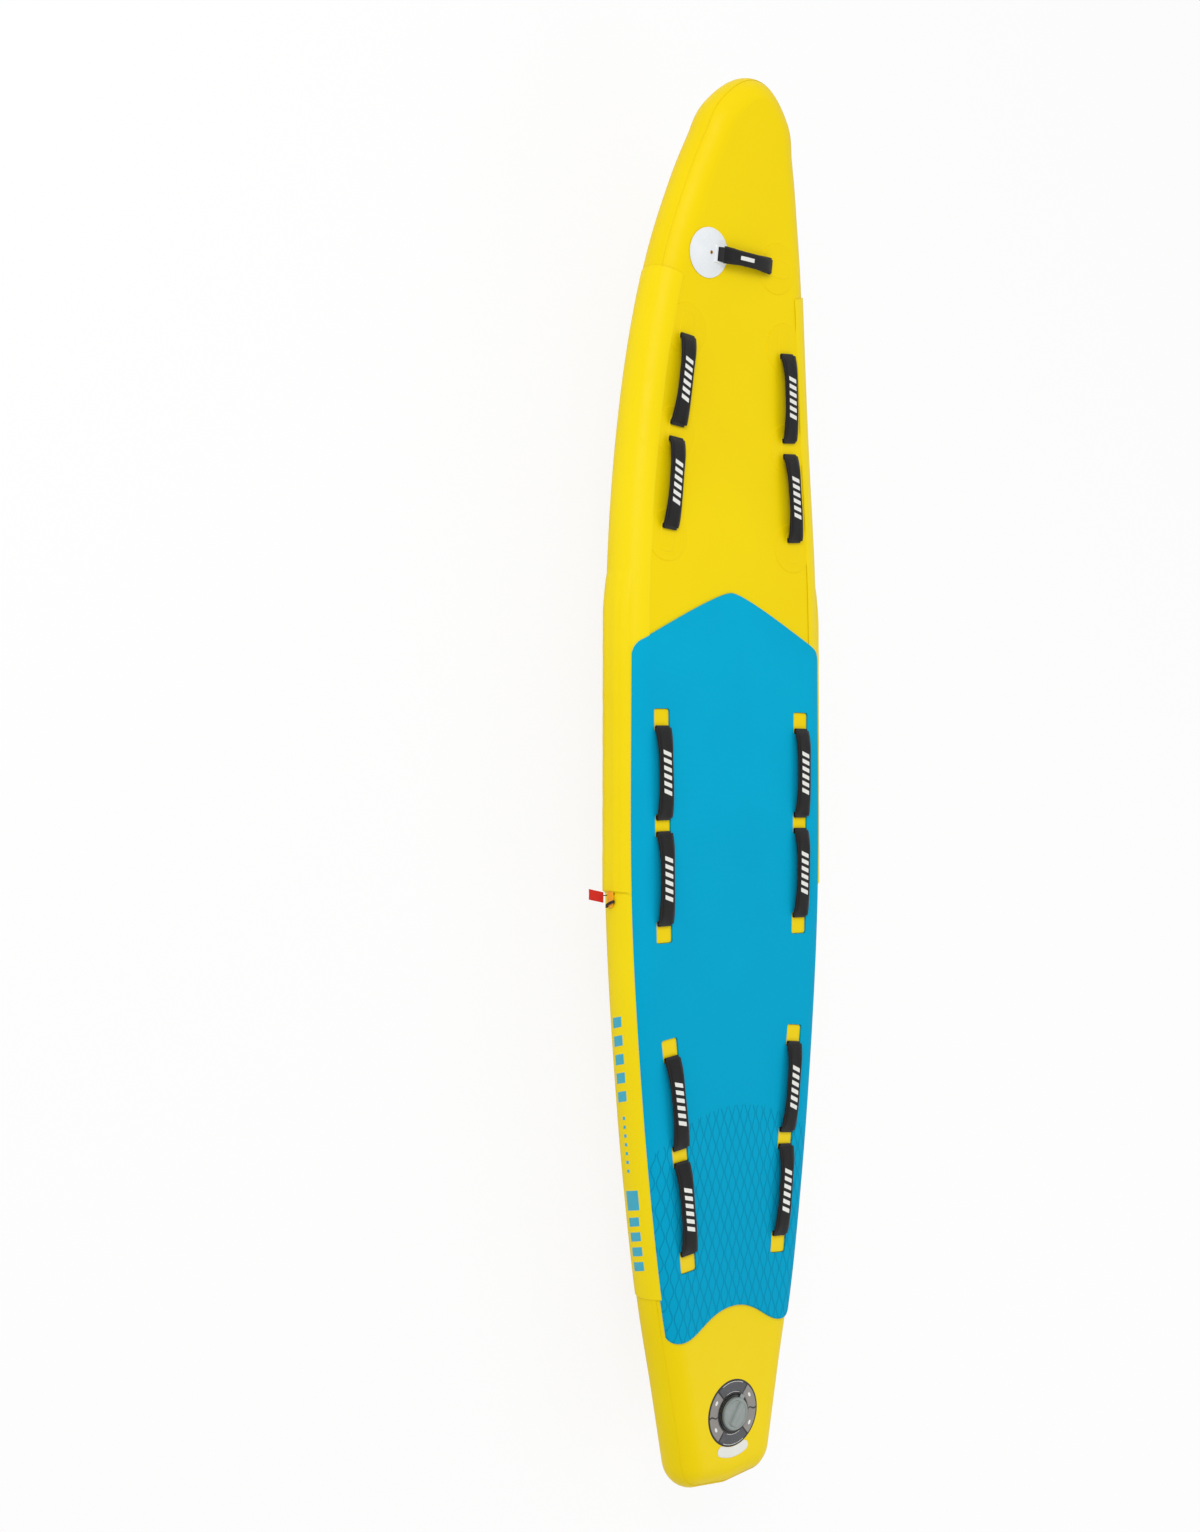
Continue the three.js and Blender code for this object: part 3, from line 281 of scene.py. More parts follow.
add_lamp("key_lamp", (2.6, 3.2, 4.2), 3.0, 112)
add_lamp("fill_lamp", (-2.4, -2.6, 3.6), 3.0, 35)

# %% Floor
floor = begin("plane", "floor", size=40)
paper_look = {"Base Color": linear("#F4F4F4"), "Roughness": 0.9}
material, tree, shader, output = new_material("white_paper", paper_look)
path = add_node(tree, "ShaderNodeLightPath")
glow = add_node(tree, "ShaderNodeEmission", {"Color": linear("#FFFFFF"), "Strength": 1.0})
lit = {"operation": "MULTIPLY", 1: 0.88}
share = add_node(tree, "ShaderNodeMath", lit, {0: path.outputs["Is Camera Ray"]})
mixed = {0: share.outputs[0], 1: shader.outputs[0], 2: glow.outputs[0]}
both = add_node(tree, "ShaderNodeMixShader", {}, mixed)
tree.links.new(both.outputs[0], output.inputs["Surface"])
floor.data.materials.append(material)
print("floor and lamps are in place")

# %% [markdown]
# ## Finishes
# Every finish is procedural. Its pattern is written in real millimetres on Object coordinates, or on the
# piece's own UV map where it has to follow a sewn piece. A wave texture repeats every 0.314 / scale, so
# a pitch in metres turns into its scale with one division.

# %% Pattern helpers
def wave_scale(pitch):
    return 2 * math.pi / 20 / pitch


def feed(tree, socket, value):
    """Set a socket to a number or a hex colour, or link it to another node's output."""
    if isinstance(value, str):
        socket.default_value = linear(value)
    elif isinstance(value, (int, float)):
        socket.default_value = value
    else:
        tree.links.new(value, socket)


def do_math(tree, operation, first, second=0.0):
    made = add_node(tree, "ShaderNodeMath", {"operation": operation})
    feed(tree, made.inputs[0], first)
    feed(tree, made.inputs[1], second)
    return made.outputs[0]


def plus(tree, first, second):
    return do_math(tree, "ADD", first, second)


def minus(tree, first, second):
    return do_math(tree, "SUBTRACT", first, second)


def times(tree, first, second):
    return do_math(tree, "MULTIPLY", first, second)


def mix_colours(tree, share, first, second):
    made = add_node(tree, "ShaderNodeMix", {"data_type": "RGBA"})
    for index, value in ((0, share), (6, first), (7, second)):
        feed(tree, made.inputs[index], value)
    return made.outputs[2]


def ramp(tree, value, low, high, to_low=0.0, to_high=1.0):
    settings = {"From Min": low, "From Max": high, "To Min": to_low, "To Max": to_high}
    return add_node(tree, "ShaderNodeMapRange", settings, {"Value": value}).outputs[0]


def noise(tree, place, scale, detail=3.0, roughness=0.5):
    settings = {"Scale": scale, "Detail": detail, "Roughness": roughness}
    return add_node(tree, "ShaderNodeTexNoise", settings, {"Vector": place}).outputs["Fac"]


def bands(tree, place, direction, pitch):
    settings = {"wave_type": "BANDS", "bands_direction": direction, "Scale": wave_scale(pitch)}
    return add_node(tree, "ShaderNodeTexWave", settings, {"Vector": place}).outputs["Fac"]


def set_bump(tree, shader, height, depth, strength=1.0):
    bump = add_node(tree, "ShaderNodeBump", {"Distance": depth, "Strength": strength}, {"Height": height})
    tree.links.new(bump.outputs[0], shader.inputs["Normal"])


def place_on(tree, kind="Object"):
    return add_node(tree, "ShaderNodeTexCoord").outputs[kind]


def turned_place(tree, place, degrees):
    settings = {"Rotation": (0, 0, math.radians(degrees))}
    return add_node(tree, "ShaderNodeMapping", settings, {"Vector": place}).outputs[0]


def set_colour(tree, shader, value):
    feed(tree, shader.inputs["Base Color"], value)


def drift_between(tree, shader, pattern, colour, deeper):
    set_colour(tree, shader, mix_colours(tree, ramp(tree, pattern, 0.3, 0.7), colour, deeper))


def uneven_gloss(tree, shader, pattern, low, high):
    feed(tree, shader.inputs["Roughness"], ramp(tree, pattern, 0.3, 0.7, low, high))


# %% [markdown]
# ### Coated fabric
# The hull is polyester cloth coated with soft PVC. The coat is satin, not glossy, and the threads under it
# show through as a fine linen. The tone drifts a little over the length, as the coat is never even.

# %% Coated fabric
def coated_fabric(name, colour, deeper, roughness=0.42):
    material, tree, shader, _ = new_material(name, {"Specular IOR Level": 0.12})
    place = place_on(tree)
    drift_between(tree, shader, noise(tree, place, 2.2, 4.0), colour, deeper)
    uneven_gloss(tree, shader, noise(tree, place, 45.0), roughness - 0.05, roughness + 0.07)
    warp, weft = (bands(tree, place, direction, 1.3 * MM) for direction in "XY")
    linen = do_math(tree, "MAXIMUM", warp, weft)
    grain = plus(tree, times(tree, linen, 0.35), noise(tree, place, 260.0, 2.0))
    set_bump(tree, shader, grain, 0.12 * MM, 0.5)
    return material


hull_cloth = coated_fabric("coated_hull_fabric", "#F6D900", "#F2D400")
tape_cloth = coated_fabric("coated_rail_tape", "#F5DA00", "#F0D200", 0.38)
pocket_cloth = coated_fabric("coated_pocket_fabric", "#F8DE12", "#F4D806", 0.4)
patch_cloth = coated_fabric("coated_patch_fabric", "#F5D700", "#F1D200", 0.36)
tag_cloth = coated_fabric("coated_tag_fabric", "#D73228", "#CB2A22", 0.45)


# %% [markdown]
# ### Deck foam
# The pad is closed-cell EVA foam. Its face is embossed all over with a fine diagonal hatch, so that it
# grips, and the rear has deeper wavy grooves: each line swings the other way from its neighbour, so
# that they enclose pointed ovals. The grooves start behind an arch across the board.

# %% Deck foam
groove_pitch = 12.5 * MM
groove_period = 62 * MM
groove_swing = 4.2 * MM
arch_station = -765 * MM

groove_edge = 0.4 * MM, 1.6 * MM
arch_curve = 1.5
hatch_pitch, hatch_turn = 3.4 * MM, 34

deck_foam, tree, shader, _ = new_material("deck_foam", {"Roughness": 0.82, "Specular IOR Level": 0.08})
place = place_on(tree)
axes = add_node(tree, "ShaderNodeSeparateXYZ", {}, {"Vector": place})
along, across = axes.outputs["X"], axes.outputs["Y"]
phase = times(tree, along, 2 * math.pi / groove_period)
swing = times(tree, do_math(tree, "SINE", phase), groove_swing)
one_way = do_math(tree, "PINGPONG", minus(tree, across, swing), groove_pitch)
other = do_math(tree, "PINGPONG", plus(tree, plus(tree, across, swing), groove_pitch), groove_pitch)
groove = ramp(tree, do_math(tree, "MINIMUM", one_way, other), *groove_edge)
arch = minus(tree, arch_station, times(tree, times(tree, across, across), arch_curve))
ahead = ramp(tree, minus(tree, along, arch), -1.5 * MM, 1.5 * MM)
groove = do_math(tree, "MAXIMUM", groove, ahead)
turned, back = (turned_place(tree, place, turn) for turn in (hatch_turn, -hatch_turn))
hatch = times(tree, bands(tree, turned, "X", hatch_pitch), bands(tree, back, "X", hatch_pitch))
cloud = noise(tree, place, 5.0)
speck = noise(tree, place, 900.0, 1.0)
# The pad's blue is a little lighter towards the front.
toward_front = ramp(tree, along, -1.2, 0.45)
body_colour = mix_colours(tree, toward_front, "#00A9D2", "#00B4DC")
body_colour = mix_colours(tree, ramp(tree, cloud, 0.35, 0.65, 0.0, 0.35), body_colour, "#00A5D0")
# Painted shade: the low hatch lines are painted a darker blue, #0088B2, as shade in the embossed recesses.
body_colour = mix_colours(tree, ramp(tree, hatch, 0.0, 1.0, 0.28, 0.0), body_colour, "#0088B2")
# Painted shade: the wavy grooves are painted a darker blue, #008FB9, as shade in the groove bottoms, while
# the bump gives their real depth.
set_colour(tree, shader, mix_colours(tree, groove, "#008FB9", body_colour))
height = plus(tree, groove, times(tree, hatch, 0.3))
height = plus(tree, height, times(tree, speck, 0.08))
set_bump(tree, shader, height, 1.1 * MM, 0.8)
print("finishes:", len(bpy.data.materials))


# %% [markdown]
# ### Cloth and webbing
# A handle's sleeve is black canvas with a diagonal twill, and its webbing is flat nylon tape with the
# small cross ribs of its weave. Both patterns follow the sewn piece, so they read its UV map, which is
# laid out in metres along and across the strap.

# %% Cloth and webbing
def sleeve_finish():
    settings = {"Roughness": 0.86, "Sheen Weight": 0.12, "Sheen Roughness": 0.5, "Specular IOR Level": 0.25}
    material, tree, shader, _ = new_material("padded_black_canvas", settings)
    place = place_on(tree, "UV")
    twill = bands(tree, turned_place(tree, place, 52), "X", 1.5 * MM)
    threads = bands(tree, place, "Y", 0.8 * MM)
    cloud = noise(tree, place, 60.0)
    axes = add_node(tree, "ShaderNodeSeparateXYZ", {}, {"Vector": place})
    from_line = minus(tree, do_math(tree, "ABSOLUTE", axes.outputs["Y"]), 19.5 * MM)
    edge_line = do_math(tree, "ABSOLUTE", from_line)
    dash = do_math(tree, "PINGPONG", axes.outputs["X"], 1.6 * MM)
    near_line, in_dash = ramp(tree, edge_line, 0.7 * MM, 0.3 * MM), ramp(tree, dash, 0.4 * MM, 0.7 * MM)
    stitch = times(tree, near_line, in_dash)
    colour = mix_colours(tree, ramp(tree, twill, 0.0, 1.0, 0.0, 0.6), "#0F0E0E", "#1F1D1D")
    colour = mix_colours(tree, ramp(tree, cloud, 0.35, 0.7, 0.0, 0.5), colour, "#161515")
    set_colour(tree, shader, mix_colours(tree, stitch, colour, "#34312F"))
    height = plus(tree, twill, times(tree, threads, 0.4))
    height = plus(tree, height, times(tree, stitch, 2.0))
    height = minus(tree, height, ramp(tree, edge_line, 2.4 * MM, 0.2 * MM, 0.0, 1.6))
    set_bump(tree, shader, height, 0.22 * MM, 0.8)
    return material


def webbing_finish():
    settings = {"Roughness": 0.7, "Sheen Weight": 0.08, "Specular IOR Level": 0.35}
    material, tree, shader, _ = new_material("nylon_webbing", settings)
    place = place_on(tree, "UV")
    ribs = bands(tree, place, "X", 1.1 * MM)
    cords = bands(tree, place, "Y", 2.2 * MM)
    set_colour(tree, shader, mix_colours(tree, times(tree, ribs, cords), "#0E0D0D", "#232121"))
    set_bump(tree, shader, plus(tree, ribs, times(tree, cords, 0.6)), 0.2 * MM, 0.8)
    return material


black_canvas = sleeve_finish()
black_webbing = webbing_finish()


# %% [markdown]
# ### Mouldings, prints and metals
# A moulded part has a faint spark-eroded grain and slightly uneven gloss. Prints are thin vinyl film.
# Metals keep their default index and get their look from colour, metalness and a brushed roughness.

# %% Mouldings, prints and metals
def moulding(name, colour, deeper, roughness, grain=0.05, coat=0.0, **extra):
    settings = {"Coat Weight": coat, "Coat Roughness": 0.12, **extra}
    material, tree, shader, _ = new_material(name, settings)
    place = place_on(tree)
    drift_between(tree, shader, noise(tree, place, 24.0), colour, deeper)
    uneven_gloss(tree, shader, noise(tree, place, 150.0), roughness - 0.04, roughness + 0.06)
    set_bump(tree, shader, noise(tree, place, 1400.0, 2.0), grain * MM, 0.35)
    return material


def brushed(name, colour, roughness):
    material, tree, shader, _ = new_material(name, {"Base Color": linear(colour), "Metallic": 1.0})
    drawn_out = add_node(tree, "ShaderNodeMapping", {"Scale": (1.0, 30.0, 1.0)}, {"Vector": place_on(tree)})
    streak = noise(tree, drawn_out.outputs[0], 90.0, 4.0)
    uneven_gloss(tree, shader, streak, roughness - 0.06, roughness + 0.1)
    set_bump(tree, shader, streak, 0.02 * MM, 0.4)
    return material


white_moulding = moulding("white_moulded_plastic", "#E9EDF0", "#E2E7EB", 0.24, 0.04, 0.3)
grey_moulding = moulding("grey_moulded_plastic", "#8A938F", "#818A87", 0.36)
black_nylon = moulding("black_moulded_nylon", "#1B1B1D", "#242426", 0.45)
yellow_nylon = moulding("yellow_moulded_nylon", "#F2C800", "#EABE00", 0.36, 0.04, 0.1)
black_rubber = moulding("black_rubber", "#161618", "#1C1C1E", 0.62)
orange_laminate = moulding("orange_glass_laminate", "#FFA800", "#FFB214", 0.4, 0.06, 0.15)
black_cord = moulding("black_cord", "#141313", "#1C1A1A", 0.75, 0.12)
white_print = moulding("white_film", "#E9E9E3", "#E4E4DE", 0.45)
grey_print = moulding("light_grey_film", "#87827D", "#7F7B77", 0.42)
dark_print = moulding("dark_grey_film", "#303238", "#2A2C32", 0.4)
blue_print = moulding("blue_film", "#35AFC9", "#2EA8C4", 0.42)
steel = brushed("brushed_steel", "#B9BCC0", 0.3)
brass = brushed("satin_brass", "#B08D4A", 0.32)
see_through = {"Transmission Weight": 0.12, "IOR": 1.5}
amber = moulding("amber_urethane", "#BE6206", "#A04A10", 0.26, 0.004, 0.25, **see_through)
print("finishes:", len(bpy.data.materials))

# %% [markdown]
# ## The board's outline
# The chamber is two flat sheets held apart by threads, closed round the edge by a half-round rail. So its
# whole shape follows from one line in plan, where the flat deck ends, swept along with a half circle. The
# line is a smooth curve through a few measured points, given as shares of the length and of the half width.

# %% Outline of the flat deck
flat_half_length = 1583.5 * MM
flat_half_width = 252 * MM
rail_radius = 60 * MM
deck_level = hull_level + 2 * rail_radius
rail_level = hull_level + rail_radius
nose_lift = 134 * MM
rocker_start, rocker_end = 553 * MM, 1645 * MM
tail_corner = 7 * MM
outline_shares = [
    (0.0045, 0.34), (0.0589, 0.47), (0.1391, 0.663), (0.2594, 0.852), (0.3997, 0.986), (0.5404, 1.0),
    (0.6607, 0.974), (0.7807, 0.846), (0.8704, 0.685), (0.9292, 0.506), (0.9639, 0.365),
    (0.9847, 0.262), (1.0, 0.0),
]


def hermite(t, here, after, start, end):
    """A cubic from here to after with the given slopes at its ends: its place at t, and its slope there."""
    cube, square = 2 * here - 2 * after + start + end, 3 * after - 3 * here - 2 * start - end
    return cube * t**3 + square * t**2 + start * t + here, 3 * cube * t**2 + 2 * square * t + start


def outline_rows(steps):
    knots = [np.array([flat_half_length * (2 * a - 1), flat_half_width * b]) for a, b in outline_shares]
    knots.append(knots[-2] * (1, -1))
    places, tangents = [], []
    for row in range(len(outline_shares) - 1):
        before, here, after, beyond = (knots[max(row + k, 0)] for k in (-1, 0, 1, 2))
        start, end = (after - before) / 2, (beyond - here) / 2
        for t in np.arange(steps) / steps:
            place, tangent = hermite(t, here, after, start, end)
            places.append(place)
            tangents.append(tangent)
    places.append(np.array([flat_half_length, 0.0]))
    tangents.append(np.array([0.0, -1.0]))
    places, tangents = np.array(places), np.array(tangents)
    tangents /= np.linalg.norm(tangents, axis=1)[:, None]
    normals = np.stack([-tangents[:, 1], tangents[:, 0]], 1)
    last_turn = math.atan2(normals[0][1], normals[0][0])
    corner_steps = 8
    turns = math.pi + (last_turn - math.pi) * np.arange(corner_steps) / corner_steps
    bend = np.stack([np.cos(turns) - math.cos(last_turn), np.sin(turns) - math.sin(last_turn)], 1)
    corner = places[0] + tail_corner * bend
    facing = np.stack([np.cos(turns), np.sin(turns)], 1)
    return np.vstack([corner, places]), np.vstack([facing, normals])


edge_places, edge_normals = outline_rows(14)
tail_steps = 12
tail_shares = (np.arange(tail_steps) / tail_steps)[:, None]
tail_places = (1 - tail_shares) * (-flat_half_length, 0.0) + tail_shares * edge_places[0]
rim_places = np.vstack([tail_places, edge_places])
rim_normals = np.vstack([np.tile([-1.0, 0.0], (tail_steps, 1)), edge_normals])


def rocker(x):
    share = np.clip((np.asarray(x) - rocker_start) / (rocker_end - rocker_start), 0, None)
    return nose_lift * share**2.4


def flat_edge(x):
    return np.interp(x, edge_places[:, 0], edge_places[:, 1])


def edge_slope(x):
    return (flat_edge(x + 2 * MM) - flat_edge(x - 2 * MM)) / (4 * MM)


def rim_point(u, turn, stand):
    """A point on the rail: u from 0 at the tail to 1 at the nose, turn up from its equator, stand off it."""
    rows = np.arange(len(rim_places)) / (len(rim_places) - 1)
    place = np.stack([np.interp(u, rows, rim_places[:, k]) for k in (0, 1)], -1)
    normal = np.stack([np.interp(u, rows, rim_normals[:, k]) for k in (0, 1)], -1)
    reach = rail_radius + stand
    flat = place + normal * (reach * np.cos(turn))[..., None]
    height = rail_level + reach * np.sin(turn) + rocker(place[..., 0])
    return np.stack([flat[..., 0], flat[..., 1], height], -1)


def on_board(x, y, stand, under=False):
    """The place over (x, y) on the deck or the rail's upper half, stand off it, or on the underside."""
    x, y = np.asarray(x, float), np.asarray(y, float)
    beyond = np.clip(np.abs(y) - flat_edge(x), 0, None) / np.sqrt(1 + edge_slope(x) ** 2)
    reach = rail_radius + stand
    rise = np.sqrt(np.clip(reach**2 - beyond**2, 0, None))
    return np.stack([x, y, rail_level + (-rise if under else rise) + rocker(x)], -1)


print("deck edge from", np.round(edge_places[0], 4), "to", np.round(edge_places[-1], 4))

# %% [markdown]
# ## Hull
# The chamber's top and bottom sheets and its rail are three grids that share their rows, welded into half a
# hull and mirrored. A pumped-up chamber isn't quite even: its sheets dimple a little between the threads
# inside, so the deck carries a ripple a few hundredths of a millimetre deep, which the gloss picks up.

# %% Hull
def join(pieces, name):
    pick(pieces[0])
    for piece in pieces:
        piece.select_set(True)
    bpy.ops.object.join()
    return rename(pieces[0], name)


def mirrored(piece):
    return finish_with(piece, "MIRROR", use_axis=(False, True, False), merge_threshold=0.01 * MM)


def snapped(value, count):
    return np.rint(value * count).astype(int)


rim_rows = len(rim_places) - 1


def flat_sheet(name, under):
    def place(u, v):
        row = snapped(u, rim_rows)
        x, y = rim_places[row, 0], rim_places[row, 1] * v
        dimple = 0.05 * MM * np.sin(x / (9 * MM)) * np.sin(y / (9 * MM)) * np.clip((1 - v) * 8, 0, 1)
        level = np.full_like(x, hull_level) if under else deck_level - dimple
        return np.stack([x, y, level + rocker(x)], -1)

    return draped_grid(name, rim_rows, 12, place)


def rim_strip(name, across, half_turn, stand):
    def place(u, v):
        return rim_point(snapped(u, rim_rows) / rim_rows, half_turn * (2 * v - 1), stand)

    return draped_grid(name, rim_rows, across, place)


rail_half = rim_strip("rail", 24, math.pi / 2, 0.0)
hull = join([flat_sheet("deck", False), flat_sheet("underside", True), rail_half], "hull")
tidy(hull, 0.05 * MM)
mirrored(hull)
tidy(hull, 0.05 * MM, 40)
dress(hull, hull_cloth, "board", "hull_yellow", "air_chamber")
print("hull:", len(hull.data.polygons), "faces")

# %% [markdown]
# ## Rail band
# A tape goes all round the rail over the seam. It is cut from the same cloth, glued on, and its two edges
# show as thin steps. It is a strip swept round the rim, thickened and with its edges softened.

# %% Rail band
band = rim_strip("band", 12, math.radians(35), 1.1 * MM)
mirrored(band)
tidy(band, 0.02 * MM)
finish_with(band, "SOLIDIFY", thickness=0.9 * MM, offset=-1)
bevelled(band, 0.4 * MM, 2)
tidy(band, 0.005 * MM, 45)
dress(band, tape_cloth, "board", "tape_yellow", "rail_band")
print("band:", len(band.data.polygons), "faces")

# %% [markdown]
# ## Deck pad
# The pad is a sheet of foam glued to the deck and turned down a little over the rails. Its front comes to a
# wide blunt point and its rear ends in two lobes. A grid is laid between those two outlines, so that its
# rows crowd towards the border, where the foam's edge is rounded. Twelve windows are then cut through it,
# each over a tab that a handle is sewn to.

# %% Outlines of the pad
pad_turn = math.radians(48)


def pad_side(x):
    return flat_edge(x) + 66 * MM * math.cos(pad_turn)


def curve_of(points, steps=24):
    """A Bezier curve of any degree through its first and last points."""
    t = np.linspace(0, 1, steps)[:, None]
    rows = [np.tile(np.array(point, float), (steps, 1)) for point in points]
    while len(rows) > 1:
        rows = [(1 - t) * a + t * b for a, b in zip(rows, rows[1:])]
    return rows[0]


fore_side, aft_side = float(pad_side(301 * MM)), float(pad_side(-1239 * MM))
fore_point = (433 * MM, 0)
fore_shoulder = (311 * MM, fore_side - 20 * MM)
aft_middle = (-1227 * MM, 0)
aft_lobe = (-1285 * MM, 158 * MM)
fore_outline = np.vstack([
    curve_of([fore_point, (433 * MM, 40 * MM), (341 * MM, fore_side - 80 * MM), fore_shoulder]),
    curve_of([fore_shoulder, (301 * MM, fore_side), (261 * MM, float(pad_side(261 * MM)))])[1:],
])
aft_outline = np.vstack([
    curve_of([aft_middle, (-1227 * MM, 79 * MM), (-1285 * MM, 105.3 * MM), aft_lobe]),
    curve_of([aft_lobe, (-1285 * MM, aft_side), (-1239 * MM, aft_side)])[1:],
])
ends_of_pad = []
for outline in (fore_outline, aft_outline):
    shares = outline[:, 1] / pad_side(outline[:, 0])
    ends_of_pad.append((np.maximum.accumulate(shares), outline[:, 0]))


def crowded(value, depth, rim):
    """Shares from 0 to 1 whose first and last three steps lie within the rim."""
    steps = depth - 1
    inner = np.linspace(rim, 1 - rim, steps - 5)
    all_shares = np.concatenate([[0, rim * 0.25, rim * 0.6], inner, [1 - rim * 0.6, 1 - rim * 0.25, 1]])
    return np.interp(value * steps, np.arange(len(all_shares)), all_shares)


def rounded_border(distance, foot, top, reach):
    rise = np.sqrt(np.clip(1 - (1 - np.clip(distance / reach, 0, 1)) ** 2, 0, 1))
    return foot + (top - foot) * rise


# %% Pad
pad_rows, pad_columns = 300, 96


def pad_sheet(name, top):
    def place(u, v):
        share = 2 * crowded(v, pad_columns, 0.012) - 1
        (fore_shares, fore_x), (aft_shares, aft_x) = ends_of_pad
        fore = np.interp(np.abs(share), fore_shares, fore_x)
        aft = np.interp(np.abs(share), aft_shares, aft_x)
        x = aft + (fore - aft) * crowded(u, pad_rows, 0.003)
        y = share * pad_side(x)
        to_border = np.minimum(np.minimum(x - aft, fore - x), (1 - np.abs(share)) * pad_side(x) * 1.3)
        stand = rounded_border(to_border, 0.5 * MM, 6 * MM, 4 * MM) if top else 0.32 * MM
        return on_board(x, y, stand)

    return draped_grid(name, pad_rows - 1, pad_columns - 1, place)


def close_border(piece, merge=0.3 * MM):
    """Weld a top sheet to its back along their open borders."""
    pick(piece)
    bpy.ops.object.mode_set(mode="EDIT")
    bpy.ops.mesh.select_mode(type="VERT")
    bpy.ops.mesh.select_all(action="DESELECT")
    bpy.ops.mesh.select_non_manifold(extend=False)
    bpy.ops.mesh.remove_doubles(threshold=merge)
    bpy.ops.object.mode_set(mode="OBJECT")
    return piece


anchor_rows = {
    "front": (794, (0.805, 0.805, 0.82)),
    "middle": (-111, (0.872, 0.857, 0.858)),
    "rear": (-860, (0.852, 0.806, 0.816)),
}
handle_pitch = 240 * MM
both_sides = (("port", 1), ("starboard", -1))


def anchors_of(row):
    """The port places a row's handles are sewn to, with the turn of the line through them."""
    station, shares = anchor_rows[row]
    places = [(station * MM + handle_pitch * (1 - k), share) for k, share in enumerate(shares)]
    places = np.array([(x, float(flat_edge(x)) * share) for x, share in places])
    ahead = np.vstack([places[:1], places[:-1]])
    behind = np.vstack([places[1:], places[-1:]])
    run = ahead - behind
    return [(x, y, math.atan2(dy, dx)) for (x, y), (dx, dy) in zip(places, run)]


def turned_cutter(x, y, turn):
    cutter = settle(begin("cube", "cutter", size=1, scale=(53 * MM, 47 * MM, 40 * MM)))
    finish_with(cutter, "BEVEL", width=6 * MM, segments=5, limit_method="ANGLE")
    cutter.location = (x, y, deck_level)
    cutter.rotation_euler = (0, 0, turn)
    return settle(cutter)


pad = join([pad_sheet("pad", True), pad_sheet("pad_back", False)], "deck_pad")
close_border(pad)
tidy(pad)
window_places = []
for row in ("middle", "rear"):
    for x, y, turn in anchors_of(row):
        window_places += [(x, side * y, side * turn) for _, side in both_sides]
cut_with(pad, join([turned_cutter(*spot) for spot in window_places], "window_cutter"))
tidy(pad, smooth=40)
dress(pad, deck_foam, "board", "pad_blue", "deck_pad")
print("pad:", len(pad.data.polygons), "faces,", len(window_places), "windows")

# %% [markdown]
# ## Tabs and patches
# Each handle is sewn to a tab of coated cloth that is welded to the deck. In the pad's windows the tab is
# a plain rounded rectangle. On the bare deck it lies on a round patch, and its two welded layers show as
# two low steps. Both are flat grids draped on the deck with their borders rounded down.

# %% Tabs and patches
def draped_disc(name, x, y, turn, half_length, half_width, power, foot, top, edge=1.2 * MM):
    """A low raised shape on the deck. Its plan is a superellipse: power 2 is round, 9 is nearly square."""
    rings, around = 18, 64

    def place(u, v):
        angle = u * 2 * math.pi
        share = 1 - (1 - v) ** 1.6
        radius = (np.abs(np.cos(angle)) ** power + np.abs(np.sin(angle)) ** power) ** (-1 / power) * share
        a, b = radius * half_length * np.cos(angle), radius * half_width * np.sin(angle)
        px = x + a * math.cos(turn) - b * math.sin(turn)
        py = y + a * math.sin(turn) + b * math.cos(turn)
        to_border = (1 - share) * min(half_length, half_width)
        return on_board(px, py, rounded_border(to_border, foot, top, edge))

    return tidy(draped_grid(name, around, rings, place), 0.02 * MM, 40)


tabs = [draped_disc("tab", *spot, 26.1 * MM, 23.1 * MM, 9, 0.05 * MM, 2.4 * MM) for spot in window_places]
dress(join(tabs, "window_tabs"), patch_cloth, "board", "hull_yellow")

nose_station, nose_patch_y, disc_y = 1216 * MM, -113 * MM, 109 * MM
patch_places = []
for side_name, side in both_sides:
    for number, (x, y, turn) in enumerate(anchors_of("front"), 1):
        patch_places.append((f"front_anchor_patch_{number}_{side_name}", x, side * y, side * turn))
patch_places.append(("nose_anchor_patch", nose_station, nose_patch_y, math.pi / 2))
for name, x, y, turn in patch_places:
    round_patch = draped_disc(name + "_round", x, y, 0, 60 * MM, 60 * MM, 2, 0.05 * MM, 1.4 * MM)
    top_tab = draped_disc(name + "_tab", x, y, turn, 38.5 * MM, 21 * MM, 4, 0.8 * MM, 2.4 * MM)
    patch = join([round_patch, top_tab], name + "_cloth")
    dress(patch, patch_cloth, "board", "hull_yellow", name)
print("tabs:", len(tabs), "patches:", len(patch_places))

# %% [markdown]
# ## Rail pockets
# A long pocket covers each rail. It is welded down along its borders, swells over the batten inside, and is
# open at the rear end of the swelling, where the batten's tongue comes out. The grid follows the rail
# round, and its height is the greater of the rail and the swelling, blended so that the cloth stays soft.

# %% Rail pockets
batten_fore, batten_aft, mouth_aft = 364 * MM, -296 * MM, -262 * MM
swell_level, swell_half, swell_foot = 320.3 * MM, 15 * MM, 31 * MM
weld_radius = 62 * MM
weld_low, weld_span = -69, 158.5
aft_corner = ([0, 13.3 * MM, 40 * MM, weld_radius], [-1142 * MM, -1168.7 * MM, -1182 * MM, -1182 * MM])
swelling = ([0, swell_half, swell_foot + 3 * MM, 60 * MM], [swell_level, swell_level, 313 * MM, 290 * MM])


def smooth_max(a, b, blend):
    share = np.clip(0.5 + 0.5 * (a - b) / blend, 0, 1)
    return b + (a - b) * share + blend * share * (1 - share)


def beside_rail(x, turn, stand):
    """The place on the rail at station x, as how far out and how far up, at a turn up from its equator."""
    reach = rail_radius + stand
    slope = np.sqrt(1 + edge_slope(x) ** 2)
    return flat_edge(x) + 1 * MM + reach * np.cos(turn) * slope, reach * np.sin(turn)


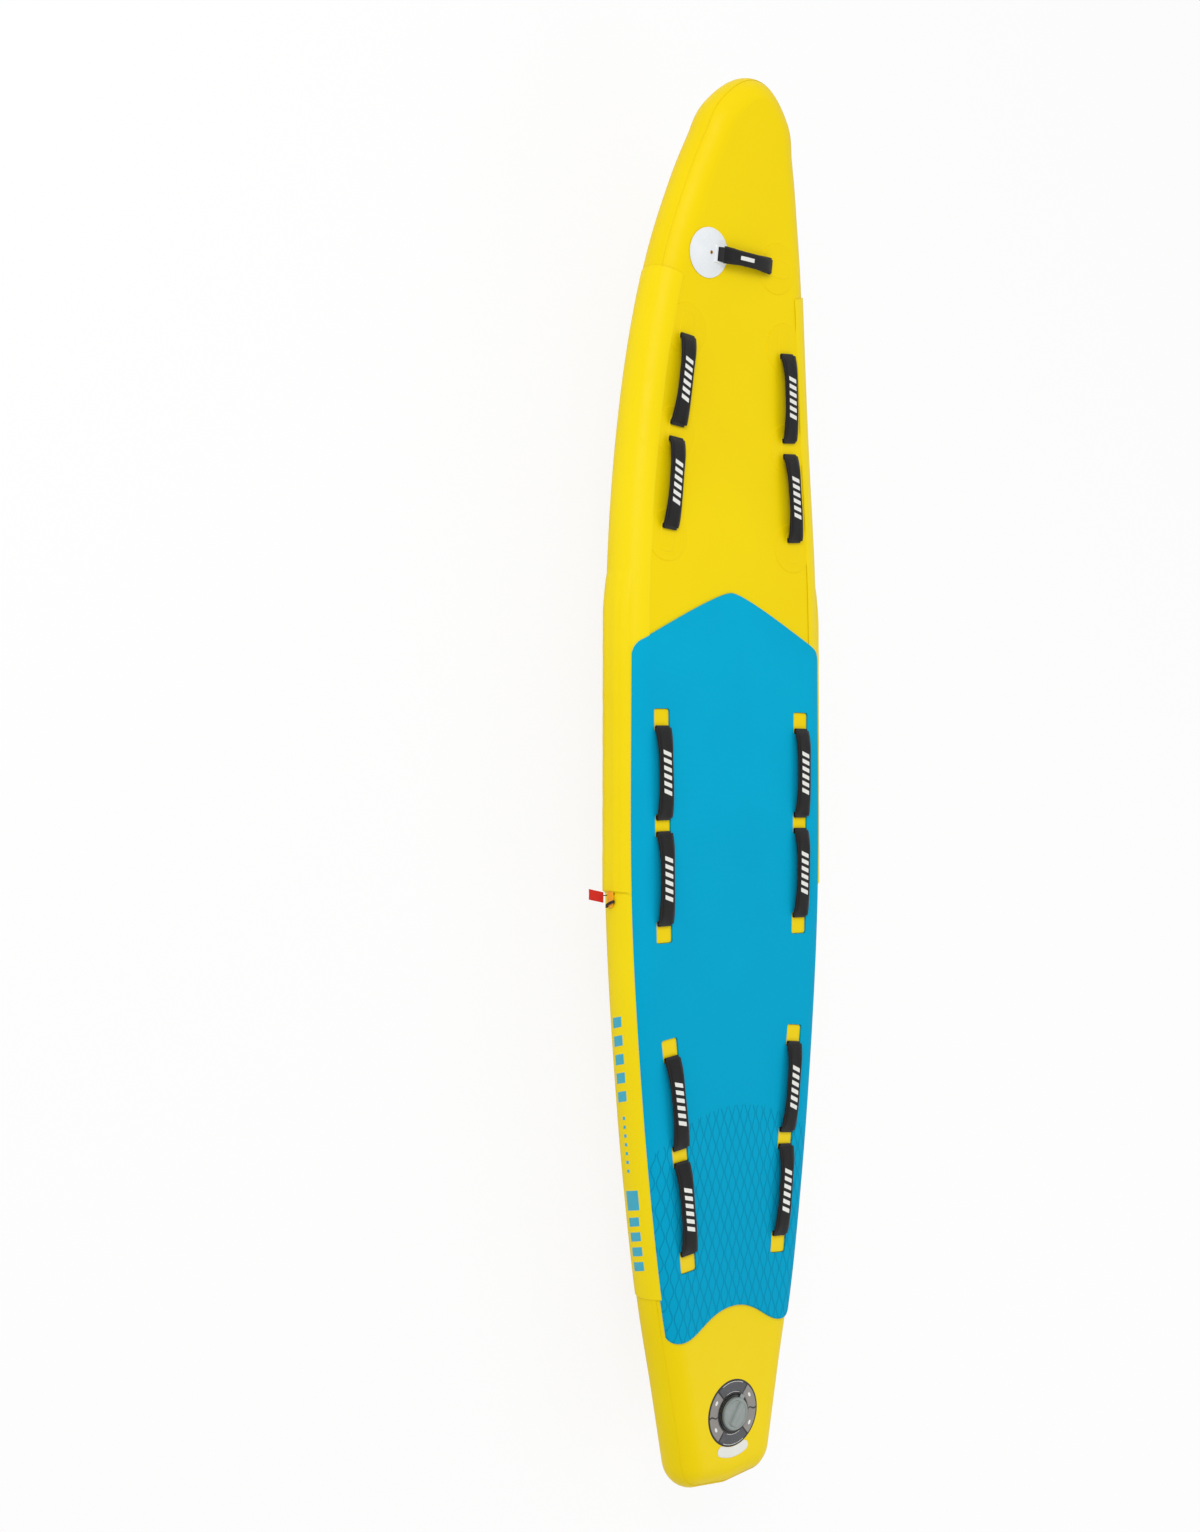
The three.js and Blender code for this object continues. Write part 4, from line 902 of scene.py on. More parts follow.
def pocket_sheet(name, top):
    rows, columns = 420, 60

    def place(u, v):
        share = crowded(v, columns, 0.025)
        turn = np.radians(weld_low + weld_span * share)
        fore = 1154 * MM + 21.3 * MM * np.cos(turn)
        aft = np.interp(weld_radius * np.cos(turn), *aft_corner)
        x = aft + (fore - aft) * crowded(u, rows, 0.0015)
        to_weld = (0.5 - np.abs(share - 0.5)) * math.radians(weld_span) * weld_radius
        to_border = np.minimum(np.minimum(x - aft, fore - x), to_weld)
        stand = rounded_border(to_border, 1.4 * MM, 2.8 * MM, 1.6 * MM) if top else 1.3 * MM
        y, rise = beside_rail(x, turn, stand)
        if top:
            up = np.abs(rise)
            lift = np.interp(up, *swelling)
            fore_end = np.clip((464 * MM - x) / (90 * MM), 0, 1) ** 0.7
            ends = np.clip((x - mouth_aft) / (2 * MM), 0, 1) * fore_end
            pucker = 0.35 * MM * np.sin(x / (11 * MM)) * np.sin(x / (37 * MM)) * np.clip(up / (20 * MM), 0, 1)
            raised = smooth_max(lift + pucker, y, 1.6 * MM)
            y = np.where((up < 45 * MM) & (ends > 0), y + (raised - y) * ends, y)
        return np.stack([x, y, rail_level + rise + rocker(x)], -1)

    return draped_grid(name, rows - 1, columns - 1, place)


def duplicate(piece, name):
    pick(piece)
    bpy.ops.object.duplicate(linked=False)
    return rename(bpy.context.object, name)


def on_both_sides(make, name):
    """A piece made on the port side, and its copy mirrored to starboard with a mesh of its own."""
    port = rename(make(), name + "_port")
    other = duplicate(port, name + "_starboard")
    other.scale = (1, -1, 1)
    return {"port": port, "starboard": face_outward(settle(other))}


def make_pocket():
    pocket = join([pocket_sheet("pocket", True), pocket_sheet("pocket_back", False)], "pocket")
    close_border(pocket, 0.25 * MM)
    tidy(pocket)
    size, centre = (640 * MM, 20 * MM, 22 * MM), (54 * MM, 308.5 * MM, rail_level)
    cut_with(pocket, settle(begin("cube", "tunnel", size=1, scale=size, location=centre)))
    return tidy(pocket, smooth=40)


for side_name, pocket in on_both_sides(make_pocket, "rail_pocket_cloth").items():
    dress(pocket, pocket_cloth, "board", "tape_yellow", f"rail_pocket_{side_name}")
print("pockets:", len(pocket.data.polygons), "faces each")

# %% [markdown]
# ## Grab handles
# A handle is webbing with a padded canvas sleeve round it. One straight sleeve is sewn first: a flat bag that
# cloth simulation inflates, as its foam would. Then it is copied, and each copy is bent along its own
# handle's arch and given a slightly different twist, because no two sewn handles hang alike.

# %% One straight padded sleeve
sleeve_half = 103 * MM
sleeve_width, sleeve_thickness = 48 * MM, 10 * MM
puffing_frames = 20
most_puff = 3 * MM


def uv_layer_of(piece):
    layers = piece.data.uv_layers
    return layers[0] if layers else layers.new(name="UVMap")


def make_sleeve():
    flat_bag = (2 * sleeve_half - 4 * MM, sleeve_width - 3.5 * MM, sleeve_thickness - 4 * MM)
    sleeve = settle(begin("cube", "sleeve", size=1, scale=flat_bag))
    finish_with(sleeve, "BEVEL", width=2 * MM, segments=3)
    finish_with(sleeve, "REMESH", mode="VOXEL", voxel_size=4 * MM)
    rest = corners_of(sleeve)
    cloth = sleeve.modifiers.new("cloth", "CLOTH")
    cloth.settings.use_pressure = True
    cloth.settings.uniform_pressure_force = 4.0
    cloth.settings.effector_weights.gravity = 0.0
    cloth.point_cache.frame_start, cloth.point_cache.frame_end = 1, puffing_frames
    for step in range(1, puffing_frames + 1):
        scene.frame_set(step)
    pick(sleeve)
    bpy.ops.object.modifier_apply(modifier="cloth")
    scene.frame_set(1)
    moved = corners_of(sleeve) - rest
    reach = np.linalg.norm(moved, axis=1)[:, None]
    move_corners(sleeve, rest + moved * np.minimum(1, most_puff / np.maximum(reach, 1e-9)))
    finish_with(sleeve, "SUBSURF", levels=1, render_levels=1, subdivision_type="CATMULL_CLARK")
    places = corners_of(sleeve)
    places *= np.array([sleeve_half, sleeve_width / 2, sleeve_thickness / 2]) / np.abs(places).max(axis=0)
    seam = np.clip((np.abs(places[:, 1]) - 16 * MM) / (6 * MM), 0, 1)
    hem = np.clip((np.abs(places[:, 0]) - 92 * MM) / (8 * MM), 0, 1)
    places[:, 2] *= 1 - 0.42 * seam - 0.3 * hem
    places[:, 2] += 0.35 * MM * np.sin(places[:, 0] / (13 * MM)) * np.cos(places[:, 1] / (9 * MM))
    move_corners(sleeve, places)
    corner_index = np.empty(len(sleeve.data.loops), int)
    sleeve.data.loops.foreach_get("vertex_index", corner_index)
    uv_layer_of(sleeve).data.foreach_set("uv", places[corner_index][:, :2].ravel())
    pick(sleeve)
    bpy.ops.object.shade_smooth()
    return sleeve


straight_sleeve = make_sleeve()
thickest = 2 * corners_of(straight_sleeve)[:, 2].max() / MM
print("sleeve:", len(straight_sleeve.data.polygons), "faces, thickest", round(thickest, 1), "mm")

# %% [markdown]
# ### Webbing, prints and the handles' places
# The webbing runs through the sleeve, folds back under at each end and is sewn to its tab. A row of pale
# slanted bars is printed on each sleeve, so that a hand finds it in bad light. A bar is a thin strip that
# lies on the sleeve's upper face, whose height is read from the sewn sleeve by casting rays down on it.

# %% Webbing and bars
from mathutils.bvhtree import BVHTree

foot_height = 3.6 * MM
grab_level, nose_level = 10.5 * MM, 12.5 * MM
webbing_half_thickness = 0.9 * MM


def arch_height(along, half, fore, aft, crown, power):
    """An arch from aft to fore level over 2 half, which rises to its crown between them."""
    share = along / half
    return (fore + aft) / 2 + (fore - aft) / 2 * share + crown * (1 - np.abs(share) ** power)


def arch_slope(along, half, fore, aft, crown, power):
    share = along / half
    return (fore - aft) / (2 * half) - power * crown * np.sign(share) * np.abs(share) ** (power - 1) / half


def bent(places, arch, shift=0.0):
    """Places of a straight strap, laid along an arch."""
    turn = np.arctan(arch_slope(places[:, 0], *arch))
    x = places[:, 0] - places[:, 2] * np.sin(turn) + shift
    z = arch_height(places[:, 0], *arch) + places[:, 2] * np.cos(turn)
    return np.stack([x, places[:, 1], z], 1)


def resampled(path, count):
    path = np.array(path)
    run = np.concatenate([[0], np.cumsum(np.linalg.norm(np.diff(path, axis=0), axis=1))])
    even = np.linspace(0, run[-1], count)
    return np.stack([np.interp(even, run, path[:, k]) for k in (0, 1)], 1), even


def strap_along(name, path, width, thickness, count):
    """Flat tape swept along a path in the XZ plane, with its UV map in metres."""
    places, run = resampled(path, count)
    ahead = np.gradient(places, axis=0)
    ahead /= np.linalg.norm(ahead, axis=1)[:, None]
    round_half = thickness / 2
    turns = np.linspace(-math.pi / 2, math.pi / 2, 5)
    flat = width / 2 - round_half
    right = np.stack([flat + round_half * np.cos(turns), round_half * np.sin(turns)], 1)
    mid = np.linspace(flat, -flat, 9)[1:-1]
    top = np.stack([mid, np.full(7, round_half)], 1)
    section = np.vstack([right, top, -right, -top, right[:1]])

    def place(u, v):
        row = snapped(u, count - 1)
        spot = snapped(v, len(section) - 1)
        base, tangent = places[row], ahead[row]
        side, up = section[spot, 0], section[spot, 1]
        return np.stack([base[:, 0] - tangent[:, 1] * up, side, base[:, 1] + tangent[:, 0] * up], -1)

    strap = draped_grid(name, count - 1, len(section) - 1, place)
    layer = uv_layer_of(strap)
    flat_uv = np.empty(len(strap.data.loops) * 2)
    layer.data.foreach_get("uv", flat_uv)
    grid = flat_uv.reshape(-1, 2)
    last = len(section) - 1
    across = section[np.clip(snapped(grid[:, 1], last), 0, last), 0]
    layer.data.foreach_set("uv", np.stack([grid[:, 0] * run[-1], across], 1).ravel())
    face_outward(closed(strap, 0.01 * MM))
    bpy.ops.object.shade_smooth_by_angle(angle=math.radians(40))
    return strap


def fold(along, level, outward, steps=12):
    """The webbing's end, folded back under itself and down to its tab."""
    radius = (level - foot_height) / 2
    middle = foot_height + radius
    turns = math.pi * (0.5 - np.arange(steps + 1) / steps)
    beyond = [(0.5 * MM + radius * math.cos(t), middle + radius * math.sin(t)) for t in turns]
    loop = [(along + outward * out, height) for out, height in beyond]
    return loop + [(along - outward * 7 * MM, foot_height)]


def make_bars(straight, count, pitch, length, slant, height, middle=0.0):
    tree = BVHTree.FromObject(straight, bpy.context.evaluated_depsgraph_get())
    down = Vector((0, 0, -1))
    bars = []
    for index in range(count):
        centre = middle + (index - (count - 1) / 2) * pitch

        def place(u, v):
            y = (v - 0.5) * height
            x = centre + (u - 0.5) * length + y * slant
            border = np.minimum(np.minimum(u, 1 - u) * length, np.minimum(v, 1 - v) * height)
            hits = [tree.ray_cast(Vector((a, b, 1)), down)[0] for a, b in zip(x, y)]
            top = np.array([0.0 if hit is None else hit.z for hit in hits])
            return np.stack([x, y, top + np.where(border > 0.2 * MM, 0.22 * MM, -0.1 * MM)], -1)

        bars.append(draped_grid("bar", 8, 12, place))
    return tidy(join(bars, "bars"), smooth=60)


def placed_copy(source, name, change):
    made = duplicate(source, name)
    return move_corners(made, change(corners_of(made)))


def through(matrix, places):
    grid = np.array(matrix)
    return places @ grid[:3, :3].T + grid[:3, 3]


def arch_points(bend, shift=0.0):
    """Points of an arch between its ends, from fore to aft."""
    half = bend[0]
    return [(x + shift, float(arch_height(x, *bend))) for x in np.linspace(half, -half, 33)[1:-1]]


grab_bend = (sleeve_half, grab_level, grab_level, 10 * MM, 3.5)
fore_fold, aft_fold = fold(sleeve_half, grab_level, 1)[::-1], fold(-sleeve_half, grab_level, -1)
grab_path = fore_fold + arch_points(grab_bend) + aft_fold
straight_webbing = strap_along("webbing", grab_path, 38 * MM, 2 * webbing_half_thickness, 96)
straight_bars = make_bars(straight_sleeve, 6, 17.5 * MM, 10.5 * MM, 0.35, 24 * MM)


def corner_lift(share, tip, sway, least):
    return share * np.clip(tip * (1 if sway > 0 else -1), 0, 1) * (least + abs(sway))


def twisted(places, index, half):
    """A small lift of the sleeve's end corners, different on every handle."""
    sway = math.sin(index * 2.4), math.cos(index * 3.7), math.sin(index * 5.1 + 1)
    fore = np.clip(places[:, 0] / half, 0, 1) ** 4
    aft = np.clip(-places[:, 0] / half, 0, 1) ** 4
    tip = places[:, 1] / (24 * MM)
    lift = corner_lift(fore, tip, sway[0], 1.2) + corner_lift(aft, tip, sway[1], 1.4)
    out = places.copy()
    out[:, 2] += lift * MM
    out[:, 1] += sway[2] * 0.8 * MM * np.sin(math.pi * places[:, 0] / half / 1.6)
    return out


def level_turn(x_fore, x_aft):
    return math.atan2(float(rocker(x_fore) - rocker(x_aft)), x_fore - x_aft)


handle_count = 0
for row in ("front", "middle", "rear"):
    spots = anchors_of(row)
    for index in (1, 2):
        (x1, y1, _), (x2, y2, _) = spots[index - 1], spots[index]
        middle_x, middle_y = (x1 + x2) / 2, (y1 + y2) / 2
        yaw = math.atan2(y1 - y2, x1 - x2)
        reach = sleeve_half * math.cos(yaw)
        pitch = level_turn(middle_x + reach, middle_x - reach)
        level = deck_level + float(rocker(middle_x + reach) + rocker(middle_x - reach)) / 2
        for side_name, side in both_sides:
            facing = Matrix.Rotation(side * yaw, 4, "Z") @ Matrix.Rotation(-pitch, 4, "Y")
            matrix = Matrix.Translation((middle_x, side * middle_y, level)) @ facing
            label = f"{row}_{index}_{side_name}"
            body = f"handle_{label}"
            handle_count += 1

            def on_handle(places):
                return through(matrix, bent(twisted(places, handle_count, sleeve_half), grab_bend))

            sleeve = placed_copy(straight_sleeve, f"sleeve_{label}", on_handle)
            dress(sleeve, black_canvas, body, "strap_black", f"handle_sleeve_{label}")
            webbing = placed_copy(straight_webbing, f"webbing_{label}", lambda spots: through(matrix, spots))
            dress(webbing, black_webbing, None, "webbing_black", f"handle_webbing_{label}")
            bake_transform(webbing)
            bars = placed_copy(straight_bars, f"sleeve_bars_{label}", on_handle)
            dress(bars, white_print, body, "print_white")
print("handles:", handle_count)

# %% [markdown]
# ## Nose handle
# The carrying strap at the nose goes from a patch on starboard across to a glossy moulded disc on port. The
# disc is a shallow dome, thicker on one side where a slot takes the strap round a steel bar. It is built
# as overlapping solids, and a fine voxel remesh melts them into one moulding with soft inner corners.

# %% Turned pieces
def profile_of(*points):
    return [(radius * MM, height * MM) for radius, height in points]


def lathe(name, profile, around=64):
    """A closed profile of (radius, height) turned round Z."""
    points = np.array(profile + profile[:1], float)
    last = len(points) - 1

    def place(u, v):
        radius, height = points[snapped(v, last)].T
        return np.stack([radius * np.cos(2 * math.pi * u), radius * np.sin(2 * math.pi * u), height], -1)

    return tidy(draped_grid(name, around, last, place), 0.005 * MM, 35)


def solid_block(name, low, high, edge=0.0, segments=3):
    centre = [(a + b) / 2 * MM for a, b in zip(low, high)]
    size = [(b - a) * MM for a, b in zip(low, high)]
    block = settle(begin("cube", name, size=1, scale=size, location=centre))
    if edge:
        finish_with(block, "BEVEL", width=edge * MM, segments=segments)
    return block


def upright(name, radius, low, high, x=0.0, y=0.0, around=48):
    centre = (x * MM, y * MM, (low + high) / 2 * MM)
    depth = (high - low) * MM
    return settle(begin("cylinder", name, vertices=around, radius=radius * MM, depth=depth, location=centre))


def melted(piece, voxel):
    finish_with(piece, "REMESH", mode="VOXEL", voxel_size=voxel)
    finish_with(piece, "SMOOTH", factor=0.5, iterations=2)
    bpy.ops.object.shade_smooth()
    return piece


# %% Disc, insert and bar
nose_rise = float(rocker(nose_station + 5 * MM)) - float(rocker(nose_station - 5 * MM))
nose_slope = math.atan(nose_rise / (10 * MM))
nose_foot = Matrix.Translation((nose_station, 0, deck_level + float(rocker(nose_station))))
nose_matrix = nose_foot @ Matrix.Rotation(-nose_slope, 4, "Y")


def set_down(piece, matrix, *look):
    """Move a piece made round the origin to its place, and dress it where its look is given."""
    move_corners(piece, through(matrix, corners_of(piece)))
    return dress(piece, *look) if look else piece


dome_steps = 24
dome_shares = [1 - k / dome_steps for k in range(dome_steps + 1)]
dome = [(58 * MM * share, (2.9 + 9 * (1 - share**2) ** 1.5) * MM) for share in dome_shares]
nose_disc = lathe("nose_disc_moulding", profile_of((0, 0.9), (57, 0.9), (58, 1.6)) + dome, 128)
move_corners(nose_disc, corners_of(nose_disc) + (0, disc_y, 0))
boss = solid_block("boss", (-20.5, 59, 0.9), (20.5, 97, 12.5), 2.2)
join([nose_disc, boss], "nose_disc_moulding")
melted(nose_disc, 0.9 * MM)
slot_cutter = solid_block("slot", (-16.5, 66.5, 1.7), (16.5, 89.5, 20), 1.0)
cut_with(nose_disc, slot_cutter, upright("hole", 4.5, 6.9, 20, 0, 109))
tidy(nose_disc, smooth=40)
set_down(nose_disc, nose_matrix, white_moulding, "board", "moulding_white", "nose_disc")

insert = lathe("nose_insert", profile_of(
    (2.2, 7.2), (4.2, 7.2), (4.2, 11.6), (3.9, 11.9), (2.5, 11.9), (2.2, 11.5)), 40)
move_corners(insert, corners_of(insert) + (0, disc_y, 0))
set_down(insert, nose_matrix, brass, "board", "brass", "nose_disc_insert")

bar_place = {"location": (0, 78 * MM, 7.2 * MM), "rotation": (0, math.pi / 2, 0)}
bar = settle(begin("cylinder", "nose_bar", vertices=32, radius=2.5 * MM, depth=41 * MM, **bar_place))
softened(bar, 0.5 * MM)
set_down(bar, nose_matrix, steel, "board", "steel", "nose_disc_bar")

# %% Nose strap and its sleeve
quarter = Matrix.Rotation(math.pi / 2, 4, "Z")
nose_half = 79 * MM
loop_radius, loop_level = 8.4 * MM, 11.7 * MM
nose_bend = (nose_half, loop_level + loop_radius, nose_level, 7 * MM, 2)
nose_middle = -1 * MM
turns = np.linspace(-math.pi / 2, math.pi / 2, 13)
loop = [(78.5 * MM + loop_radius * math.cos(t), loop_level + loop_radius * math.sin(t)) for t in turns]
under_disc = [(67.5 * MM, loop_level - loop_radius)]
nose_path = under_disc + loop + arch_points(nose_bend, nose_middle) + fold(-80 * MM, nose_level, -1)
nose_webbing = strap_along("nose_webbing", nose_path, 32 * MM, 2 * webbing_half_thickness, 96)
set_down(nose_webbing, nose_matrix @ quarter, black_webbing, None, "webbing_black", "nose_handle_webbing")


def on_nose(places):
    small = places * (nose_half / sleeve_half, 40 / 48, 1.0)
    return through(nose_matrix @ quarter, bent(small, nose_bend, shift=nose_middle))


nose_sleeve = placed_copy(straight_sleeve, "nose_sleeve", on_nose)
dress(nose_sleeve, black_canvas, "nose_handle", "strap_black", "nose_handle_sleeve")
nose_bar_print = make_bars(straight_sleeve, 1, 0.0, 62 * MM, 0.0, 12 * MM, middle=14 * MM)
rename(nose_bar_print, "nose_sleeve_bar")
move_corners(nose_bar_print, on_nose(corners_of(nose_bar_print)))
dress(nose_bar_print, white_print, "nose_handle", "print_white")
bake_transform(nose_webbing)
for pattern in (straight_webbing, straight_bars, straight_sleeve):
    bpy.data.objects.remove(pattern)
print("nose fitting and strap are in place")

# %% [markdown]
# ## Inflation valve
# The valve is a barrel with a wide flange, clamped through the deck by a nut from inside. A sprung plunger
# in it keeps the air in, and a screw cap keeps sand out. A film ring of plain grey panels, with a few ovals
# and rules, lies round it. The moulded parts are turned pieces, as on a lathe.

# %% Valve body and what is inside it
valve_x = -1472 * MM
valve_matrix = Matrix.Translation((valve_x, 0, deck_level))

gasket = lathe("gasket", profile_of((23.3, 0.3), (40, 0.3), (40, 1.3), (23.3, 1.3)), 96)
set_down(gasket, valve_matrix, black_rubber, "board", "seal_black", "valve_gasket")

body = lathe("valve_barrel", profile_of(
    (12, -50), (23, -50), (23, 1.6), (41, 1.6), (41, 3.8), (40.6, 4.2), (25.5, 4.2), (25.5, 7.8), (25.1, 8.2),
    (17.6, 8.2), (17, 7.6), (17, -32), (3.5, -32), (3.5, -35), (17, -35), (17, -47), (12, -47)), 96)
hole_turns = np.radians([45, 135, 225, 315])
holes = [upright("spider_hole", 4, -38, -29, 10 * math.cos(a), 10 * math.sin(a), 32) for a in hole_turns]
cut_with(body, join(holes, "spider_holes"))
tidy(body, smooth=35)
set_down(body, valve_matrix, black_nylon, "board", "nylon_black", "valve_body")

nut = lathe("lock_nut", profile_of(
    (23.3, -14.3), (32, -14.3), (33, -13.3), (33, -6.3), (32, -5.3), (23.3, -5.3)), 96)
notch_turns = np.arange(12) * math.pi / 6
notches = [upright("notch", 2.4, -20, 0, 34.2 * math.cos(a), 34.2 * math.sin(a), 24) for a in notch_turns]
cut_with(nut, join(notches, "notches"))
tidy(nut, smooth=35)
set_down(nut, valve_matrix, black_nylon, "board", "nylon_black", "valve_nut")

plunger = lathe("plunger", profile_of(
    (0, -52.8), (15, -52.8), (15.5, -52.3), (15.5, -50.8), (15, -50.3), (3, -50.3), (3, -9.5), (7.1, -9.5),
    (7.5, -9.1), (7.5, -7.4), (7.1, -7), (0, -7)), 64)
set_down(plunger, valve_matrix, grey_moulding, "valve_plunger", "moulding_grey", "valve_plunger")

spring_low, spring_high, spring_turns = -30.9 * MM, -10.6 * MM, 5
spring_radius, wire_radius = 5.6 * MM, 0.8 * MM


def spring_place(u, v):
    turn, around = u * spring_turns * 2 * math.pi, v * 2 * math.pi
    reach = spring_radius + wire_radius * np.cos(around)
    height = spring_low + (spring_high - spring_low) * u + wire_radius * np.sin(around)
    return np.stack([reach * np.cos(turn), reach * np.sin(turn), height], -1)


spring = closed(draped_grid("return_spring", 180, 12, spring_place), 0.001 * MM)
tidy(spring, smooth=50)
set_down(spring, valve_matrix, steel, None, "steel", "valve_spring")
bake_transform(spring)

seal = lathe("cap_seal", profile_of((26.5, 4.5), (33.7, 4.5), (33.7, 5.7), (26.5, 5.7)), 96)
set_down(seal, valve_matrix, black_rubber, "valve_cap_lift", "seal_black", "valve_cap_seal")
print("valve barrel, nut, plunger, spring and seals are in place")

# %% [markdown]
# ### Valve cap
# The cap is turned by a ridge across it, with a shallow recess on each side for the fingertips, and a small
# tab at its rim. Like the nose disc it is melted together by a fine remesh, which rounds every inner corner.

# %% Valve cap
grip_matrix = Matrix.Rotation(math.radians(-35), 4, "Z")
cap = lathe("cap", profile_of(
    (0, 8.8), (26, 8.8), (26, 6), (34, 6), (34, 4.5), (37, 4.5),
    (37, 11), (36, 12.4), (33, 13.1), (0, 13.1)), 96)
recess = upright("recess", 31, 11.7, 20, 0, 0, 96)
cut_with(recess, solid_block("ridge_band", (-40, -10, 0), (40, 10, 30)))
bevelled(recess, 1.0 * MM)
grip = solid_block("grip", (-29, -7.5, 9.5), (29, 7.5, 18.1), 4.2, 6)
cap_tab = solid_block("cap_tab", (33, -7, 6), (46, 7, 8), 0.9, 3)
for piece in (recess, grip, cap_tab):
    set_down(piece, grip_matrix)
cut_with(cap, recess)
join([cap, grip, cap_tab], "valve_cap_moulding")
melted(cap, 0.6 * MM)
set_down(cap, valve_matrix, grey_moulding, "valve_cap", "moulding_grey", "valve_cap")
print("cap:", len(cap.data.polygons), "faces")

# %% Printed ring and blank label
def ring_patch(name, inner, outer, start, end, foot, top, edge=0.6, across=14, **ends):
    """A flat patch on the deck between two radii and two angles round the valve, its border rounded down."""
    waves, round_ends = ends.get("waves", (0.0, 0.0)), ends.get("round_ends", False)
    along = max(12, int(abs(end - start) * 1.4))

    def place(u, v):
        mid, half = (inner + outer) / 2 * MM, (outer - inner) / 2 * MM
        run = np.radians(end - start) * mid
        from_end = np.minimum(u, 1 - u) * run
        to_tip = 1 - np.clip(from_end / half, 0, 1)
        shrink = np.sqrt(np.clip(1 - to_tip**2, 1e-4, 1)) if round_ends else 1.0
        radius = mid + (2 * v - 1) * half * shrink
        sway = np.sin(2 * math.pi * v)
        first, last = (math.radians(a) + wave * MM * sway / radius for a, wave in zip((start, end), waves))
        angle = first + (last - first) * u
        border = np.minimum(np.minimum(v, 1 - v) * 2 * half * shrink, from_end if not round_ends else 1.0)
        stand = rounded_border(border, foot * MM, top * MM, edge * MM)
        return on_board(valve_x + radius * np.cos(angle), radius * np.sin(angle), stand)

    return tidy(draped_grid(name, along, across, place), smooth=45)


base_ring = ring_patch("ring_base", 40.3, 76, 0, 360, 0.3, 1.2, across=20)
dress(base_ring, black_rubber, "board", "print_grey", "valve_surround")
panel_inner, panel_outer, dark_half, gap, panel_wave = 46.0, 72.4, 37.0, 2.6, 2.4


def ring_panel(name, start, end, waves=(0.0, 0.0)):
    return ring_patch(name, panel_inner, panel_outer, start, end, 1.0, 1.7, waves=waves)


dark = [ring_panel("dark_panel", middle - dark_half, middle + dark_half) for middle in (0, 180)]
dress(join(dark, "dark_panels"), dark_print, "board", "print_grey")
light = []
for low in (dark_half + gap, 180 + dark_half + gap):
    middle, high = low + 53 - gap, low + 106 - 2 * gap
    light.append(ring_panel("light_panel", low, middle - gap / 2, (0.0, panel_wave)))
    light.append(ring_panel("light_panel", middle + gap / 2, high, (panel_wave, 0.0)))
dress(join(light, "light_panels"), grey_print, "board", "print_grey")
marks = []
for angle in np.radians((58, 118, 238, 302)):
    x, y = valve_x + 60 * MM * math.cos(angle), 60 * MM * math.sin(angle)
    marks.append(draped_disc("oval", x, y, angle, 3.4 * MM, 5.6 * MM, 2, 1.6 * MM, 1.85 * MM, 0.4 * MM))
for middle in (0, 180):
    for inner, outer, half in ((70.4, 71.6, 26), (47.6, 48.6, 24)):
        marks.append(ring_patch("rule", inner, outer, middle - half, middle + half, 1.6, 1.85, 0.3, across=4))
dress(join(marks, "ring_marks"), white_print, "board", "print_white")
label = ring_patch("blank_white_label", 76.5, 100.5, 149, 211, 0.35, 1.2, round_ends=True)
dress(label, white_print, "board", "print_white", "blank_label")
print("printed ring: 2 dark panels,", len(light), "light panels")

# %% [markdown]
# ## Battens, pull loops and tags
# A stiff batten of glass laminate lies in each pocket, and its rounded tongue shows at the mouth. A loop of
# thin webbing round the tongue pulls it out, and a red cloth tag hangs on a short cord beside it.

# %% Flat outlines made solid
def extruded(name, outline, low, high, upright_axis="Z"):
    """An outline in plan, filled and extruded along Z, or along Y for one that is drawn in X and Z."""
    piece = begin("circle", name, vertices=len(outline), fill_type="NGON")
    flat = np.array(outline, float)
    base = np.full(len(flat), low)
    level = upright_axis == "Z"
    places = [flat[:, 0], flat[:, 1], base] if level else [flat[:, 0], base, flat[:, 1]]
    move_corners(piece, np.stack(places, 1))
    shift = (0, 0, high - low) if level else (0, high - low, 0)
    edit_all(piece, extrude_region_move={"TRANSFORM_OT_translate": {"value": shift}})
    return face_outward(piece)


def stadium(length, width, steps=32):
    turns = np.linspace(-math.pi / 2, math.pi / 2, steps + 1)
    cap_x, radius = (length - width) / 2, width / 2
    fore = np.stack([cap_x + radius * np.cos(turns), radius * np.sin(turns)], 1)
    return np.vstack([fore, -fore])


# %% Battens, loops and tags
batten_inner, batten_outer = 315.6 * MM, 318.0 * MM


def make_batten():
    half, nose = 10.5 * MM, 14 * MM
    turns = np.linspace(math.pi / 2, 3 * math.pi / 2, 25)
    tongue = np.stack([batten_aft + nose + nose * np.cos(turns), half * np.sin(turns)], 1)
    outline = np.vstack([tongue, [(batten_fore, -half), (batten_fore, half)]]) + (0, rail_level)
    return softened(extruded("batten", outline, batten_inner, batten_outer, "Y"), 0.5 * MM, 2, 50)


def loop_place(u, v):
    turn = 2 * math.pi * u
    corner = 2 * math.pi * v
    front = np.sin(turn)
    half_width = 3.4 * MM
    half_thick = (0.4 + 0.5 * np.clip(front, 0, 1) ** 0.5) * MM
    side = half_width * np.sign(np.cos(corner)) * np.abs(np.cos(corner)) ** 0.3
    stand = half_thick + half_thick * np.sign(np.sin(corner)) * np.abs(np.sin(corner)) ** 0.5
    up = np.cos(turn) * (13 * MM + stand)
    out = np.where(front > 0, front * (6.2 * MM + stand), -np.abs(front) ** 0.2 * (1.5 * MM + stand))
    x = batten_aft + 9 * MM + up * math.tan(math.radians(24)) + side
    return np.stack([x, (batten_inner + batten_outer) / 2 + out, rail_level + up], -1)


def make_loop():
    return tidy(draped_grid("pull_loop", 72, 16, loop_place), 0.005 * MM, 50)


